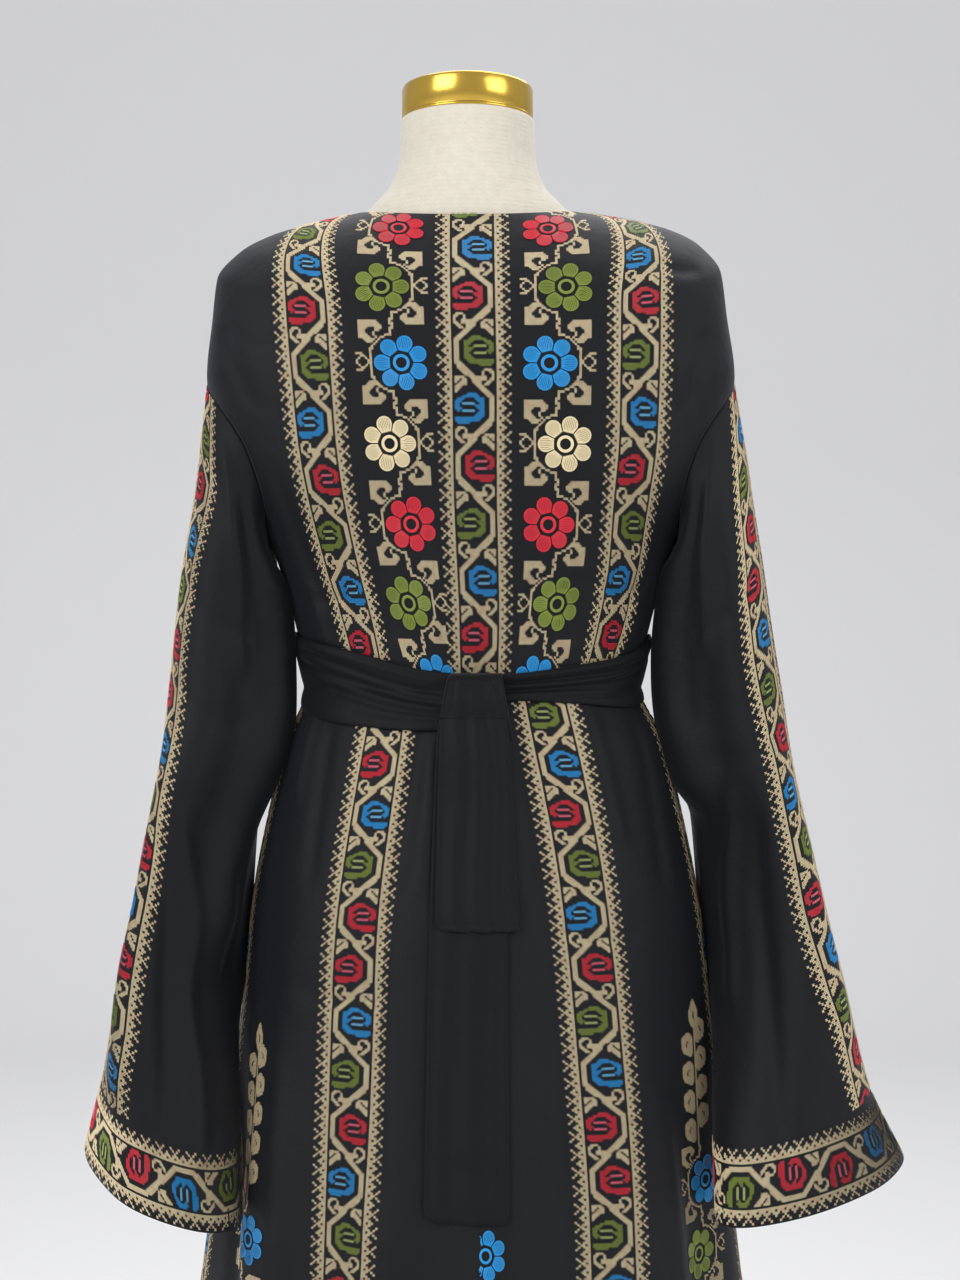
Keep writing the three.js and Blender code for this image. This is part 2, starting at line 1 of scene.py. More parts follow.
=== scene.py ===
import math
import bpy
import numpy as np
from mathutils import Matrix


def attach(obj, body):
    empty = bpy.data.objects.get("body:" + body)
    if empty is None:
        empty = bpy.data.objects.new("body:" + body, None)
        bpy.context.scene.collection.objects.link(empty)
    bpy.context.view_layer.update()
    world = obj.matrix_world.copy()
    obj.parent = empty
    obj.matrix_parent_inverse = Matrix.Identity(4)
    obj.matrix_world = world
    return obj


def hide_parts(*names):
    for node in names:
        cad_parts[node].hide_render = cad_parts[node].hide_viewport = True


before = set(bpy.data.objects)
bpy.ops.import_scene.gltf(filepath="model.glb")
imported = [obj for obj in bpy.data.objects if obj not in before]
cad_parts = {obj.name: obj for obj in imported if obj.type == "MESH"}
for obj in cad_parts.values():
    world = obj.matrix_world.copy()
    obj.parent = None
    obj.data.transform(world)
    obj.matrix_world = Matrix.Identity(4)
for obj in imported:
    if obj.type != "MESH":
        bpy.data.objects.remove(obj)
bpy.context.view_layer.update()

chance = np.random.default_rng(7)

# All shapes below are worked out in millimetres, in the frame's own axes: the garment's back faces -Y.

# ---- camera, stage and light ----

view = {"place": (0.0105, -1.552, 1.067), "lens": 52, "sensor": 36}
cameraData = bpy.data.cameras.new("camera")
cameraData.lens = view["lens"]
cameraData.sensor_fit = "VERTICAL"
cameraData.sensor_height = view["sensor"]
camera = bpy.data.objects.new("camera", cameraData)
camera.location = view["place"]
camera.rotation_euler = (math.pi / 2, 0, 0)
bpy.context.scene.collection.objects.link(camera)
bpy.context.scene.camera = camera
bpy.context.scene.view_settings.view_transform = "Standard"


def linear(hexColour):
    values = [int(hexColour[i:i + 2], 16) / 255 for i in (1, 3, 5)]
    return tuple(v / 12.92 if v <= 0.04045 else ((v + 0.055) / 1.055) ** 2.4 for v in values) + (1,)


def addNode(tree, kind, settings, inputs):
    node = tree.nodes.new("ShaderNode" + kind)
    for name, value in settings.items():
        setattr(node, name, value)
    for name, value in inputs.items():
        if isinstance(value, bpy.types.NodeSocket):
            tree.links.new(value, node.inputs[name])
        else:
            node.inputs[name].default_value = value
    return node


def newMaterial(name, colour, roughness, sockets):
    material = bpy.data.materials.new(name)
    material.use_nodes = True
    shader = material.node_tree.nodes["Principled BSDF"]
    shader.inputs["Base Color"].default_value = linear(colour)
    shader.inputs["Roughness"].default_value = roughness
    for socket, value in sockets.items():
        shader.inputs[socket].default_value = value
    return material, material.node_tree, shader


lamps = {
    "left": {"place": (-2.3, -2.7, 2.5), "aim": (0, 0, 1.0), "size": 2.2, "power": 78},
    "right": {"place": (2.6, -2.1, 2.1), "aim": (0, 0, 0.9), "size": 2.0, "power": 44},
    "top": {"place": (0.3, 0.9, 3.2), "aim": (0, 0, 1.0), "size": 2.4, "power": 46},
}


def softLight(name, place, aim, size, power):
    data = bpy.data.lights.new(name, "AREA")
    data.size = size
    data.energy = power
    lamp = bpy.data.objects.new(name, data)
    lamp.location = place
    towards = np.array(aim, float) - np.array(place, float)
    level = math.hypot(towards[0], towards[1])
    lamp.rotation_euler = (math.atan2(level, -towards[2]), 0, math.atan2(-towards[0], towards[1]))
    bpy.context.scene.collection.objects.link(lamp)


for name, facts in lamps.items():
    softLight(name + "Light", **facts)
world = bpy.data.worlds.new("room")
world.use_nodes = True
world.node_tree.nodes["Background"].inputs["Color"].default_value = linear("#f3f3f5")
world.node_tree.nodes["Background"].inputs["Strength"].default_value = 0.62
bpy.context.scene.world = world


def smooth(value):
    t = np.clip(value, 0, 1)
    return t * t * (3 - 2 * t)


# Puts a grid of points (millimetres) into a mesh object. faces are quads of vertex numbers.
def newPiece(name, vertices, faces, materials, faceMaterials=None, isSmooth=True):
    mesh = bpy.data.meshes.new(name)
    faces = np.asarray(faces, np.int32)
    mesh.vertices.add(len(vertices))
    mesh.vertices.foreach_set("co", (np.asarray(vertices, np.float64) / 1000).astype(np.float32).ravel())
    mesh.loops.add(faces.size)
    mesh.loops.foreach_set("vertex_index", faces.ravel())
    mesh.polygons.add(len(faces))
    mesh.polygons.foreach_set("loop_start", np.arange(0, faces.size, faces.shape[1], dtype=np.int32))
    mesh.polygons.foreach_set("use_smooth", np.full(len(faces), isSmooth))
    for material in materials:
        mesh.materials.append(material)
    if faceMaterials is not None:
        mesh.polygons.foreach_set("material_index", np.asarray(faceMaterials, np.int32))
    mesh.update(calc_edges=True)
    mesh.validate()
    piece = bpy.data.objects.new(name, mesh)
    bpy.context.scene.collection.objects.link(piece)
    return piece


# What a piece stands for: its node has the piece's own name, in small letters with underscores.
def standsFor(piece):
    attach(piece, "root")
    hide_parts("".join("_" + letter.lower() if letter.isupper() else letter for letter in piece.name))
    return piece


# Quads between the neighbouring rows and columns of a grid; a closed grid's last column joins its first.
def gridFaces(rows, columns, closed=False, flip=False):
    i, j = np.meshgrid(np.arange(rows - 1), np.arange(columns if closed else columns - 1), indexing="ij")
    k = (j + 1) % columns
    a, b, c, d = i * columns + j, i * columns + k, (i + 1) * columns + k, (i + 1) * columns + j
    quads = np.stack([a, d, c, b] if flip else [a, b, c, d], axis=-1)
    return quads.reshape(-1, 4)


# The studio's sweep: a flat floor that curves up into a plain wall far behind the object.
sweepMaterial, sweepTree, sweepShader = newMaterial("palePaintedFloor", "#e9e9ea", 0.85, {})
sweepNoise = addNode(sweepTree, "TexNoise", {}, {"Scale": 3.0})
sweepBump = addNode(sweepTree, "Bump", {}, {"Height": sweepNoise.outputs["Fac"], "Strength": 0.03})
sweepTree.links.new(sweepBump.outputs["Normal"], sweepShader.inputs["Normal"])
sweepLook = {"near": -6000, "bendAt": 3200, "radius": 1200, "top": 6000, "halfWidth": 8000}
sweepAngle = np.linspace(0, math.pi / 2, 17)
sweepBend = np.stack([sweepLook["bendAt"] + sweepLook["radius"] * np.sin(sweepAngle),
                      sweepLook["radius"] * (1 - np.cos(sweepAngle))], 1)
sweepProfile = np.concatenate([[[sweepLook["near"], 0]], sweepBend,
                               [[sweepLook["bendAt"] + sweepLook["radius"], sweepLook["top"]]]])
sweepAcross = np.linspace(-sweepLook["halfWidth"], sweepLook["halfWidth"], 9)
sweepPoints = np.stack([np.broadcast_to(sweepAcross, (len(sweepProfile), 9)),
                        np.broadcast_to(sweepProfile[:, :1], (len(sweepProfile), 9)),
                        np.broadcast_to(sweepProfile[:, 1:], (len(sweepProfile), 9))], axis=-1)
sweep = newPiece("studioSweep", sweepPoints.reshape(-1, 3), gridFaces(len(sweepProfile), 9), [sweepMaterial])
print("camera, stage and light are set")

# ---- materials ----


# Adds a bump from fine grain and from broader unevenness; sizes and heights are in millimetres.
def addGrain(tree, shader, grainSize, grainHeight, broadSize, broadHeight):
    where = addNode(tree, "TexCoord", {}, {})
    grain = addNode(tree, "TexNoise", {}, {"Vector": where.outputs["Object"], "Scale": 1000 / grainSize, "Detail": 2.0})
    broad = addNode(tree, "TexNoise", {}, {"Vector": where.outputs["Object"], "Scale": 1000 / broadSize, "Detail": 3.0})
    under = addNode(tree, "Bump", {}, {"Height": broad.outputs["Fac"], "Strength": 1.0, "Distance": broadHeight / 1000})
    over = addNode(tree, "Bump", {}, {"Height": grain.outputs["Fac"], "Strength": 1.0, "Distance": grainHeight / 1000,
                                      "Normal": under.outputs["Normal"]})
    tree.links.new(over.outputs["Normal"], shader.inputs["Normal"])
    return where, broad


# Black polyester crepe, woven from hard-twisted yarn: a pebbled, matt face with a faint bloom at grazing angles.
# Its pebbles are about 0.5 mm; they are drawn at 1.4 mm so that they show.
def crepeMaterial(name, dark, pale, roughness):
    material, tree, shader = newMaterial(name, dark, roughness, {
        "Specular IOR Level": 0.17, "Sheen Weight": 0.08, "Sheen Roughness": 0.45, "Sheen Tint": linear("#c9cede")})
    where, broad = addGrain(tree, shader, 1.4, 0.28, 22, 1.1)
    cloud = addNode(tree, "TexNoise", {}, {"Vector": where.outputs["Object"], "Scale": 9.0, "Detail": 4.0})
    colour = addNode(tree, "Mix", {"data_type": "RGBA"}, {"Factor": cloud.outputs["Fac"]})
    colour.inputs["A"].default_value = linear(dark)
    colour.inputs["B"].default_value = linear(pale)
    tree.links.new(colour.outputs["Result"], shader.inputs["Base Color"])
    return material


crepe = crepeMaterial("blackCrepe", "#0d0e11", "#16171b", 0.6)
sashCrepe = crepeMaterial("blackSashCrepe", "#08090a", "#0e0f11", 0.62)


# Rayon embroidery thread: soft gloss and sheen, with a fine noise in the bump.
def threadMaterial(name, colour, roughness):
    material, tree, shader = newMaterial(name, colour, roughness, {
        "Specular IOR Level": 0.45, "Sheen Weight": 0.15, "Sheen Roughness": 0.4})
    where = addNode(tree, "TexCoord", {}, {})
    strands = addNode(tree, "TexNoise", {}, {"Vector": where.outputs["Object"], "Scale": 900.0, "Detail": 1.0})
    bump = addNode(tree, "Bump", {}, {"Height": strands.outputs["Fac"], "Strength": 0.6, "Distance": 0.0003})
    tree.links.new(bump.outputs["Normal"], shader.inputs["Normal"])
    return material


# For each colour: the thread, a paler shade that lines and lights the motifs, and painted shade between its strands.
threadShades = {
    "cream": (("", "#dccda4", 0.5), ("Rosy", "#d8bb9a", 0.5), ("Deep", "#8f7a55", 0.55)),
    "red": (("", "#c9182e", 0.42), ("Pale", "#e2627a", 0.45), ("Deep", "#7d0f1e", 0.5)),
    "blue": (("", "#0f8acd", 0.42), ("Pale", "#6db9e4", 0.45), ("Deep", "#0d4b7a", 0.5)),
    "green": (("", "#72822a", 0.42), ("Pale", "#aab56c", 0.45), ("Deep", "#414a17", 0.5)),
}
threads = {thread: [threadMaterial(thread + "Thread" + kind, colour, roughness) for kind, colour, roughness in shades]
           for thread, shades in threadShades.items()}

# Natural linen pulled tight over the padded form: plain weave of slubby yarn, matt.
# Its threads are 0.6 mm apart; they are drawn at 2 mm so that they show.
linen, linenTree, linenShader = newMaterial("stretchedLinen", "#e6e0d4", 0.88, {
    "Sheen Weight": 0.2, "Sheen Roughness": 0.5})
linenWhere = addNode(linenTree, "TexCoord", {}, {})
linenTurned = addNode(linenTree, "Mapping", {}, {
    "Vector": linenWhere.outputs["Object"], "Rotation": (0, 0, math.pi / 4)})
linenYarns = [addNode(linenTree, "TexWave", {"bands_direction": way}, {
    "Vector": linenTurned.outputs["Vector"], "Scale": 80.0, "Distortion": 1.5, "Detail": 2.0, "Detail Scale": 3.0})
    for way in "ZX"]
linenWeave = addNode(linenTree, "Math", {"operation": "MAXIMUM"},
                     {i: yarn.outputs["Fac"] for i, yarn in enumerate(linenYarns)})
linenBump = addNode(linenTree, "Bump", {}, {"Height": linenWeave.outputs["Value"], "Strength": 0.5, "Distance": 0.0004})
linenTree.links.new(linenBump.outputs["Normal"], linenShader.inputs["Normal"])
linenSlub = addNode(linenTree, "TexNoise", {}, {"Vector": linenTurned.outputs["Vector"], "Scale": 140.0, "Detail": 3.0})
linenColour = addNode(linenTree, "Mix", {"data_type": "RGBA"}, {"Factor": linenSlub.outputs["Fac"]})
linenColour.inputs["A"].default_value = linear("#c9c2b2")
linenColour.inputs["B"].default_value = linear("#dbd5c6")
linenTree.links.new(linenColour.outputs["Result"], linenShader.inputs["Base Color"])

# Brass-coloured plating on turned steel: a bright mirror with fine turning marks and a few soft smudges.
gold, goldTree, goldShader = newMaterial("polishedGoldPlating", "#d4b04e", 0.2, {"Metallic": 1.0})
goldWhere = addNode(goldTree, "TexCoord", {}, {})
goldSmudge = addNode(goldTree, "TexNoise", {}, {"Vector": goldWhere.outputs["Object"], "Scale": 30.0, "Detail": 3.0})
goldRough = addNode(goldTree, "MapRange", {}, {"Value": goldSmudge.outputs["Fac"], "To Min": 0.14, "To Max": 0.3})
goldTree.links.new(goldRough.outputs["Result"], goldShader.inputs["Roughness"])
goldTurning = addNode(goldTree, "TexWave", {"bands_direction": "Z"}, {
    "Vector": goldWhere.outputs["Object"], "Scale": 320.0, "Distortion": 0.4})
goldBump = addNode(goldTree, "Bump", {}, {"Height": goldTurning.outputs["Fac"], "Strength": 0.1, "Distance": 0.0001})
goldTree.links.new(goldBump.outputs["Normal"], goldShader.inputs["Normal"])
print("materials are made")

# ---- the cloth's surfaces ----

# heights at the side of the body
levels = {"neck": 1424, "shoulder": 1282, "armhole": 1215, "underarm": 1148, "waist": 1028, "hem": 38}
bodiceShape = {
    "names": "side lift left right back backZ front frontZ square",
    "rows": [
        (1424, 1, 92, 92, 68, 1409, 78, 1346, 2.0),
        (1416, 3, 128, 133, 77, 1395, 85, 1337, 2.2),
        (1406, 5, 163, 168, 88, 1377, 93, 1327, 2.5),
        (1392, 6, 189, 193, 98, 1357, 101, 1317, 2.9),
        (1370, 6, 207, 210, 106, 1335, 108, 1306, 3.2),
        (1335, 4, 210, 214, 111, 1311, 114, 1295, 3.5),
        (1282, 0, 214, 220, 114, 1282, 119, 1282, 3.7),
        (1215, 0, 190, 198, 112, 1215, 127, 1215, 3.8),
        (1148, 0, 163, 172, 105, 1148, 116, 1148, 3.0),
        (1090, 0, 146, 155, 98, 1090, 104, 1090, 2.6),
        (1028, 0, 131, 140, 92, 1028, 95, 1028, 2.3),
    ],
    "armholeReach": 84,
    "sag": 1.4,
}
skirtShape = {
    "names": "side left right back front square",
    "rows": [
        (1028, 131, 140, 92, 95, 2.3),
        (1008, 140, 151, 98, 99, 2.3),
        (985, 151, 164, 105, 104, 2.3),
        (940, 162, 175, 118, 113, 2.25),
        (850, 179, 193, 139, 128, 2.2),
        (775, 186, 202, 150, 140, 2.15),
        (573, 216, 224, 180, 170, 2.1),
        (300, 250, 256, 214, 206, 2.0),
        (38, 280, 284, 244, 238, 2.0),
    ],
    # each main fold: where it starts and ends across the panel, its depth and its width
    "backFolds": [(-.86, -.84, 6, .1), (-.58, -.52, 20, .12), (-.16, -.24, 17, .11), (.02, .1, 15, .12),
                  (.42, .46, 22, .13), (.82, .8, 9, .1)],
    "frontFolds": [(-.82, -.78, 18, .12), (-.4, -.46, 22, .13), (-.05, -.1, 15, .12), (.3, .28, 19, .11),
                   (.72, .7, 21, .13)],
}
ringNames = "at out back long thick turn tilt"
leftSleeve = {
    "direction": -1,
    "names": ringNames,
    "rows": [(1215, 188.5, 0, 25.5, 84, 0, 67), (1150, 192, 4, 33, 84, 0, 45), (1080, 196, 8, 41, 80, 4, 30),
             (1010, 199, 14, 44, 77, 8, 22), (930, 213, 26, 32, 80, 14, 18), (850, 221, 47, 29, 76, 22, 17),
             (775, 229, 76, 36, 65, 30, 19), (700, 233, 94, 54, 56, 33, 23), (645, 237, 106, 71, 50, 36, 27)],
    # each fold along the sleeve: its first and last degrees, depth, width in degrees, top and bottom
    "folds": [(118, 150, -9, 24, 1150, 820), (62, 104, 7, 20, 1000, 620), (-120, -95, -9, 26, 1120, 700)],
}
rightSleeve = {
    "direction": 1,
    "names": ringNames,
    "rows": [(1215, 196, 0, 24, 84, 0, 67), (1150, 201, 4, 34, 84, 0, 45), (1080, 205, 8, 42, 80, 4, 30),
             (1010, 212, 14, 45, 77, 8, 22), (930, 228, 26, 37, 78, 12, 18), (850, 239, 46, 37, 74, 20, 17),
             (775, 249, 70, 47, 64, 26, 17), (700, 257, 86, 66, 53, 30, 16), (638, 271, 98, 88, 46, 31, 17)],
    "folds": [(122, 140, -9, 24, 1150, 820), (84, 70, 6, 20, 1050, 700), (-110, -80, -9, 26, 1120, 700)],
}


# A curve through points: cubic between neighbours, level where the values turn, with no overshoot.
def curve(xs, ys):
    order = np.argsort(xs)
    xs, ys = np.asarray(xs, float)[order], np.asarray(ys, float)[order]
    steps = np.diff(ys) / np.diff(xs)
    slopes = np.zeros(len(ys))
    slopes[0], slopes[-1] = steps[0], steps[-1]
    before, after = steps[:-1], steps[1:]
    same = before * after > 0
    slopes[1:-1][same] = (2 * before * after / np.where(same, before + after, 1))[same]

    def value(at):
        inside = np.clip(at, xs[0], xs[-1])
        i = np.clip(np.searchsorted(xs, inside) - 1, 0, len(xs) - 2)
        width = xs[i + 1] - xs[i]
        t = (inside - xs[i]) / width
        bend = (ys[i + 1] - ys[i]) * (3 - 2 * t) * t * t
        return ys[i] + bend + slopes[i] * width * t * (1 - t) ** 2 - slopes[i + 1] * width * t * t * (1 - t)

    return value


def curves(shape):
    table = np.array(shape["rows"], float)
    return {name: curve(table[:, 0], table[:, k]) for k, name in enumerate(shape["names"].split()) if k}


bodice = curves(bodiceShape)
skirt = curves(skirtShape)


# Looks values up along each row of a table whose keys grow from 0 to 1; the rows are kept apart by 2.
def alongRows(at, keys, values):
    apart = 2.0 * np.arange(len(keys))[:, None]
    return np.interp((at + apart).ravel(), (keys + apart).ravel(), values.ravel()).reshape(at.shape)


# A quarter of a rounded section for each row, from the middle (share 0) to the side (share 1), evenly by length:
# across is sin(angle) and deep is cos(angle), each to the power 2 / square. Gives both, and the quarter's length.
def quarter(half, depth, square, share):
    angle = np.linspace(0, np.pi / 2, 97)[None, :]
    power = 2 / square[:, None]
    across = np.sin(angle) ** power
    deep = np.maximum(np.cos(angle), 0) ** power
    deep[:, -1] = 0
    steps = np.hypot(np.diff(across, axis=1) * half[:, None], np.diff(deep, axis=1) * depth[:, None])
    length = np.concatenate([np.zeros((len(half), 1)), np.cumsum(steps, axis=1)], axis=1)
    total = length[:, -1]
    inside = np.clip(share, 0, 1)
    keys = length / total[:, None]
    return alongRows(inside, keys, across), alongRows(inside, keys, deep), total


# Two quarters side by side: share runs from the left side (-1) to the right side (1).
def halves(left, right, depth, square, share):
    acrossL, deepL, totalL = quarter(left, depth, square, -share)
    acrossR, deepR, totalR = quarter(right, depth, square, share)
    x = np.where(share > 0, right[:, None] * acrossR, -left[:, None] * acrossL)
    return x, np.where(share > 0, deepR, deepL), totalL, totalR


# The bodice, one height at the side a row: a squarish section whose middle hangs lower than its ends,
# by the depth to the power "sag". face is -1 for the back and 1 for the front.
def bodiceSurface(face, share, side):
    depth = (bodice["back"] if face < 0 else bodice["front"])(side)
    middleZ = (bodice["backZ"] if face < 0 else bodice["frontZ"])(side)
    x, deep, _, _ = halves(bodice["left"](side), bodice["right"](side), depth, bodice["square"](side), share)
    endZ = side[:, None] + np.where(share > 0, bodice["lift"](side)[:, None], 0)
    z = endZ + (middleZ[:, None] - endZ) * deep ** bodiceShape["sag"]
    return np.stack([x, face * depth[:, None] * deep, z], axis=-1)


# The shares of a row that the panel covers on its left and right: less than 1 where the armhole's half-ellipse cuts in.
def coveredShare(face, side):
    depth = (bodice["back"] if face < 0 else bodice["front"])(side)
    height = np.clip((side - levels["armhole"]) / (levels["shoulder"] - levels["armhole"]), -1, 1)
    cut = bodiceShape["armholeReach"] * np.sqrt(1 - height**2)
    middle = np.zeros((len(side), 1))
    _, _, totalL, totalR = halves(bodice["left"](side), bodice["right"](side), depth, bodice["square"](side), middle)
    return 1 - cut / totalL, 1 - cut / totalR


# The skirt's main folds: each a bell-shaped ridge with a shallow trough beside it, growing down from the waist.
def skirtFold(face, share, z):
    down = np.clip((levels["waist"] - z) / (levels["waist"] - levels["hem"]), 0, None)[:, None]
    grown = smooth(down / 0.55) * (0.55 + 0.45 * down)
    nearSeam = 1 - smooth((np.abs(share) - 0.93) / 0.07)
    out = 0
    for start, end, depth, width in skirtShape["backFolds" if face < 0 else "frontFolds"]:
        away = (share - start - (end - start) * np.sqrt(down)) / width
        out = out + depth * (np.exp(-away * away) - 0.35 * np.exp(-away * away / 5))
    return out * grown * nearSeam


def skirtSurface(face, share, z):
    depth = (skirt["back"] if face < 0 else skirt["front"])(z)
    left, right = skirt["left"](z), skirt["right"](z)
    x, deep, _, _ = halves(left, right, depth, skirt["square"](z), share)
    y = face * depth[:, None] * deep
    half = np.where(share > 0, right[:, None], left[:, None])
    outX, outY = x / half**2, y / depth[:, None] ** 2
    length = np.maximum(np.hypot(outX, outY), 1e-9)
    fold = skirtFold(face, share, z)
    return np.stack([x + outX / length * fold, y + outY / length * fold, z[:, None] + 0 * x], axis=-1)


# The armhole seam by degrees round it: 0 at its top, 90 at the back, 180 under the arm.
def armholeLine(direction, degrees):
    angle = np.radians(degrees)
    side = levels["armhole"] + (levels["shoulder"] - levels["armhole"]) * np.cos(angle)
    points = []
    for face in (-1, 1):
        covered = coveredShare(face, side)[0 if direction < 0 else 1]
        points.append(bodiceSurface(face, (direction * covered)[:, None], side)[:, 0])
    return np.where(np.sin(angle)[:, None] >= 0, points[0], points[1])


# A sleeve's rings: ellipses that are turned, set back and tilted, with soft folds along them.
def sleeveRings(sleeve, degrees, at):
    ring = {name: value(at) for name, value in curves(sleeve).items()}
    angle = np.radians(degrees)
    out = 0
    for start, end, depth, width, top, bottom in sleeve["folds"]:
        down = np.clip((top - at) / (top - bottom), 0, 1)
        away = ((degrees - start - (end - start) * down + 540) % 360 - 180) / width
        out = out + depth * np.exp(-away * away) * np.sin(np.pi * np.minimum(down * 0.8 + 0.1, 1))
    along = (ring["long"] + out) * np.cos(angle)
    across = (ring["thick"] + out) * np.sin(angle)
    turn = np.radians(ring["turn"])
    x = sleeve["direction"] * (ring["out"] + along * np.cos(turn) + across * np.sin(turn))
    y = -ring["back"] + along * np.sin(turn) - across * np.cos(turn)
    return np.stack([x, y, at + ring["tilt"] * np.cos(angle)], axis=-1)


# The sleeve: its rings, bent over their first 110 mm so that they start at the armhole seam.
def sleeveSurface(sleeve, degrees, at):
    degrees, at = np.broadcast_arrays(degrees[None, :], at[:, None])
    points = sleeveRings(sleeve, degrees, at)
    start = levels["armhole"]
    bent = 1 - np.sin(np.pi / 2 * np.clip((start - at) / 110, 0, 1))
    seam = armholeLine(sleeve["direction"], degrees[0]) - sleeveRings(sleeve, degrees[0], start + 0 * degrees[0])
    points = points + seam[None] * bent[..., None]
    # it leaves a gap of 0.48 mm at the seam
    points[..., 0] += sleeve["direction"] * 0.48 * bent * np.abs(np.sin(np.radians(degrees) / 2))
    points[..., 2] -= 0.48 * bent * np.maximum(np.cos(np.radians(degrees)), 0)
    return points


# A cloth is its grid of points with what is measured on it: the heights of its rows, and the length along each row
# from the column "zero". sign tells which way the grid's own normals point.
def newCloth(points, heights, zero, sign, closed=False):
    steps = np.linalg.norm(np.diff(points, axis=1), axis=-1)
    arcs = np.concatenate([np.zeros((len(points), 1)), np.cumsum(steps, axis=1)], axis=1)
    return {"points": points, "heights": heights, "arcs": arcs - arcs[:, zero:zero + 1], "sign": sign, "closed": closed}


def normalsOf(cloth):
    points = cloth["points"]
    if cloth["closed"]:
        across = np.roll(points, -1, axis=1) - np.roll(points, 1, axis=1)
        across[:, 0] = across[:, -1] = points[:, 1] - points[:, -2]
    else:
        across = np.gradient(points, axis=1)
    normals = cloth["sign"] * np.cross(across, np.gradient(points, axis=0))
    return normals / np.maximum(np.linalg.norm(normals, axis=-1, keepdims=True), 1e-9)


# Creases: each row gives the way it runs, its line, its depth (a trough's is negative) and its width. A line that runs
# "down" gives the place along the row for some heights; one that runs "across" gives the height for some places along
# the row. The depth is a bell across the line and fades over the last sixth at both ends.
def addCreases(cloth, creases, edgeFree=8):
    arcs = cloth["arcs"]
    heights = cloth["heights"][:, None] + 0 * arcs
    out = np.zeros(arcs.shape)
    for runs, line, depth, width in creases:
        line = np.array(line, float)
        isDown = runs == "down"
        along, beside = (heights, arcs) if isDown else (arcs, heights)
        middle = curve(line[:, 0], line[:, 1])(along)
        first, last = line[:, 0].min(), line[:, 0].max()
        ends = smooth((along - first) / (last - first) * 6) * smooth((last - along) / (last - first) * 6)
        away = beside - middle
        if cloth["closed"] and isDown:
            girth = arcs[:, -1:] - arcs[:, :1]
            away = (away + girth / 2) % girth - girth / 2
        out += depth * np.exp(-(away / width) ** 2) * ends
    if not cloth["closed"]:
        out *= smooth((arcs - arcs[:, :1]) / edgeFree) * smooth((arcs[:, -1:] - arcs) / edgeFree)
    cloth["points"] = cloth["points"] + normalsOf(cloth) * out[..., None]
    if cloth["closed"]:
        cloth["points"][:, -1] = cloth["points"][:, 0]
    return cloth


# A shell of cloth behind its grid: outer and inner layer, closed along its edges. Panels stay on their own side of
# y = 0.
def clothPiece(name, cloth, thickness, material, face=0):
    points = cloth["points"]
    normals = normalsOf(cloth)
    inner = points - thickness * normals
    if face:
        points = points.copy()
        points[..., 1] = face * np.maximum(face * points[..., 1], 0.15)
        inner[..., 1] = face * np.maximum(face * inner[..., 1], 0.15)
    if cloth["closed"]:
        points, inner = points[:, :-1], inner[:, :-1]
    rows, columns = points.shape[:2]
    count = rows * columns
    vertices = np.concatenate([points.reshape(-1, 3), inner.reshape(-1, 3)])
    flip = cloth["sign"] < 0
    outer = gridFaces(rows, columns, cloth["closed"], flip)
    faces = [outer, gridFaces(rows, columns, cloth["closed"], not flip) + count]
    j = np.arange(columns if cloth["closed"] else columns - 1)
    k = (j + 1) % columns
    bottom = (rows - 1) * columns
    rims = [np.stack([j, j + count, k + count, k], 1),
            bottom + np.stack([k, k + count, j + count, j], 1)]
    if not cloth["closed"]:
        a = np.arange(rows - 1) * columns
        b = a + columns
        last = columns - 1
        rims += [np.stack([a, b, b + count, a + count], 1),
                 np.stack([b + last, a + last, a + last + count, b + last + count], 1)]
    faces += [rim[:, ::-1] if flip else rim for rim in rims]
    piece = newPiece(name, vertices, np.concatenate(faces), [material])
    return standsFor(piece)


bareEdge = 1.2  # no stitch's centre lies nearer to a cloth's side edges


# Places on a cloth: rows are fractions of its row numbers, arcs are lengths along the row. Gives the points, and which
# of them are inside the cloth's edges.
def placesOn(cloth, rows, arcs):
    table, points = cloth["arcs"], cloth["points"]
    count, width = table.shape
    first = np.clip(np.floor(rows), 0, count - 2).astype(int)
    part = (rows - first)[..., None]
    apart = 5000.0
    keys = (table + apart * np.arange(count)[:, None]).ravel()
    columns = np.tile(np.arange(width, dtype=float), count)
    found = []
    inside = (rows >= 0) & (rows <= count - 1)
    for row in (first, first + 1):
        column = np.interp(arcs + apart * row, keys, columns)
        left = np.clip(np.floor(column), 0, width - 2).astype(int)
        share = (column - left)[..., None]
        found.append(points[row, left] * (1 - share) + points[row, left + 1] * share)
        inside &= (arcs >= table[row, 0] + bareEdge) & (arcs <= table[row, -1] - bareEdge)
    return found[0] * (1 - part) + found[1] * part, inside


# Follows a line down a cloth, from "across" and "down" in millimetres to places. The line's centre and width vary with
# the height.
def layOut(cloth, line, across, down):
    table = np.array(line["centre"], float)
    centre, wide = curve(table[:, 0], table[:, 1]), curve(table[:, 0], table[:, 2])
    heights = cloth["heights"]
    rows = np.arange(len(heights), dtype=float)
    middle, _ = placesOn(cloth, rows, centre(heights))
    length = np.concatenate([[0], np.cumsum(np.linalg.norm(np.diff(middle, axis=0), axis=-1))])
    start = np.interp(-line["from"], -heights, length)
    row = np.interp(start + down, length, rows, left=-1, right=len(rows))
    height = np.interp(row, rows, heights)
    row = np.where(height < line.get("to", -1e6), -1, row)
    return placesOn(cloth, row, centre(height) + across * wide(height) / line["wide"])


# ---- the cloth pieces ----

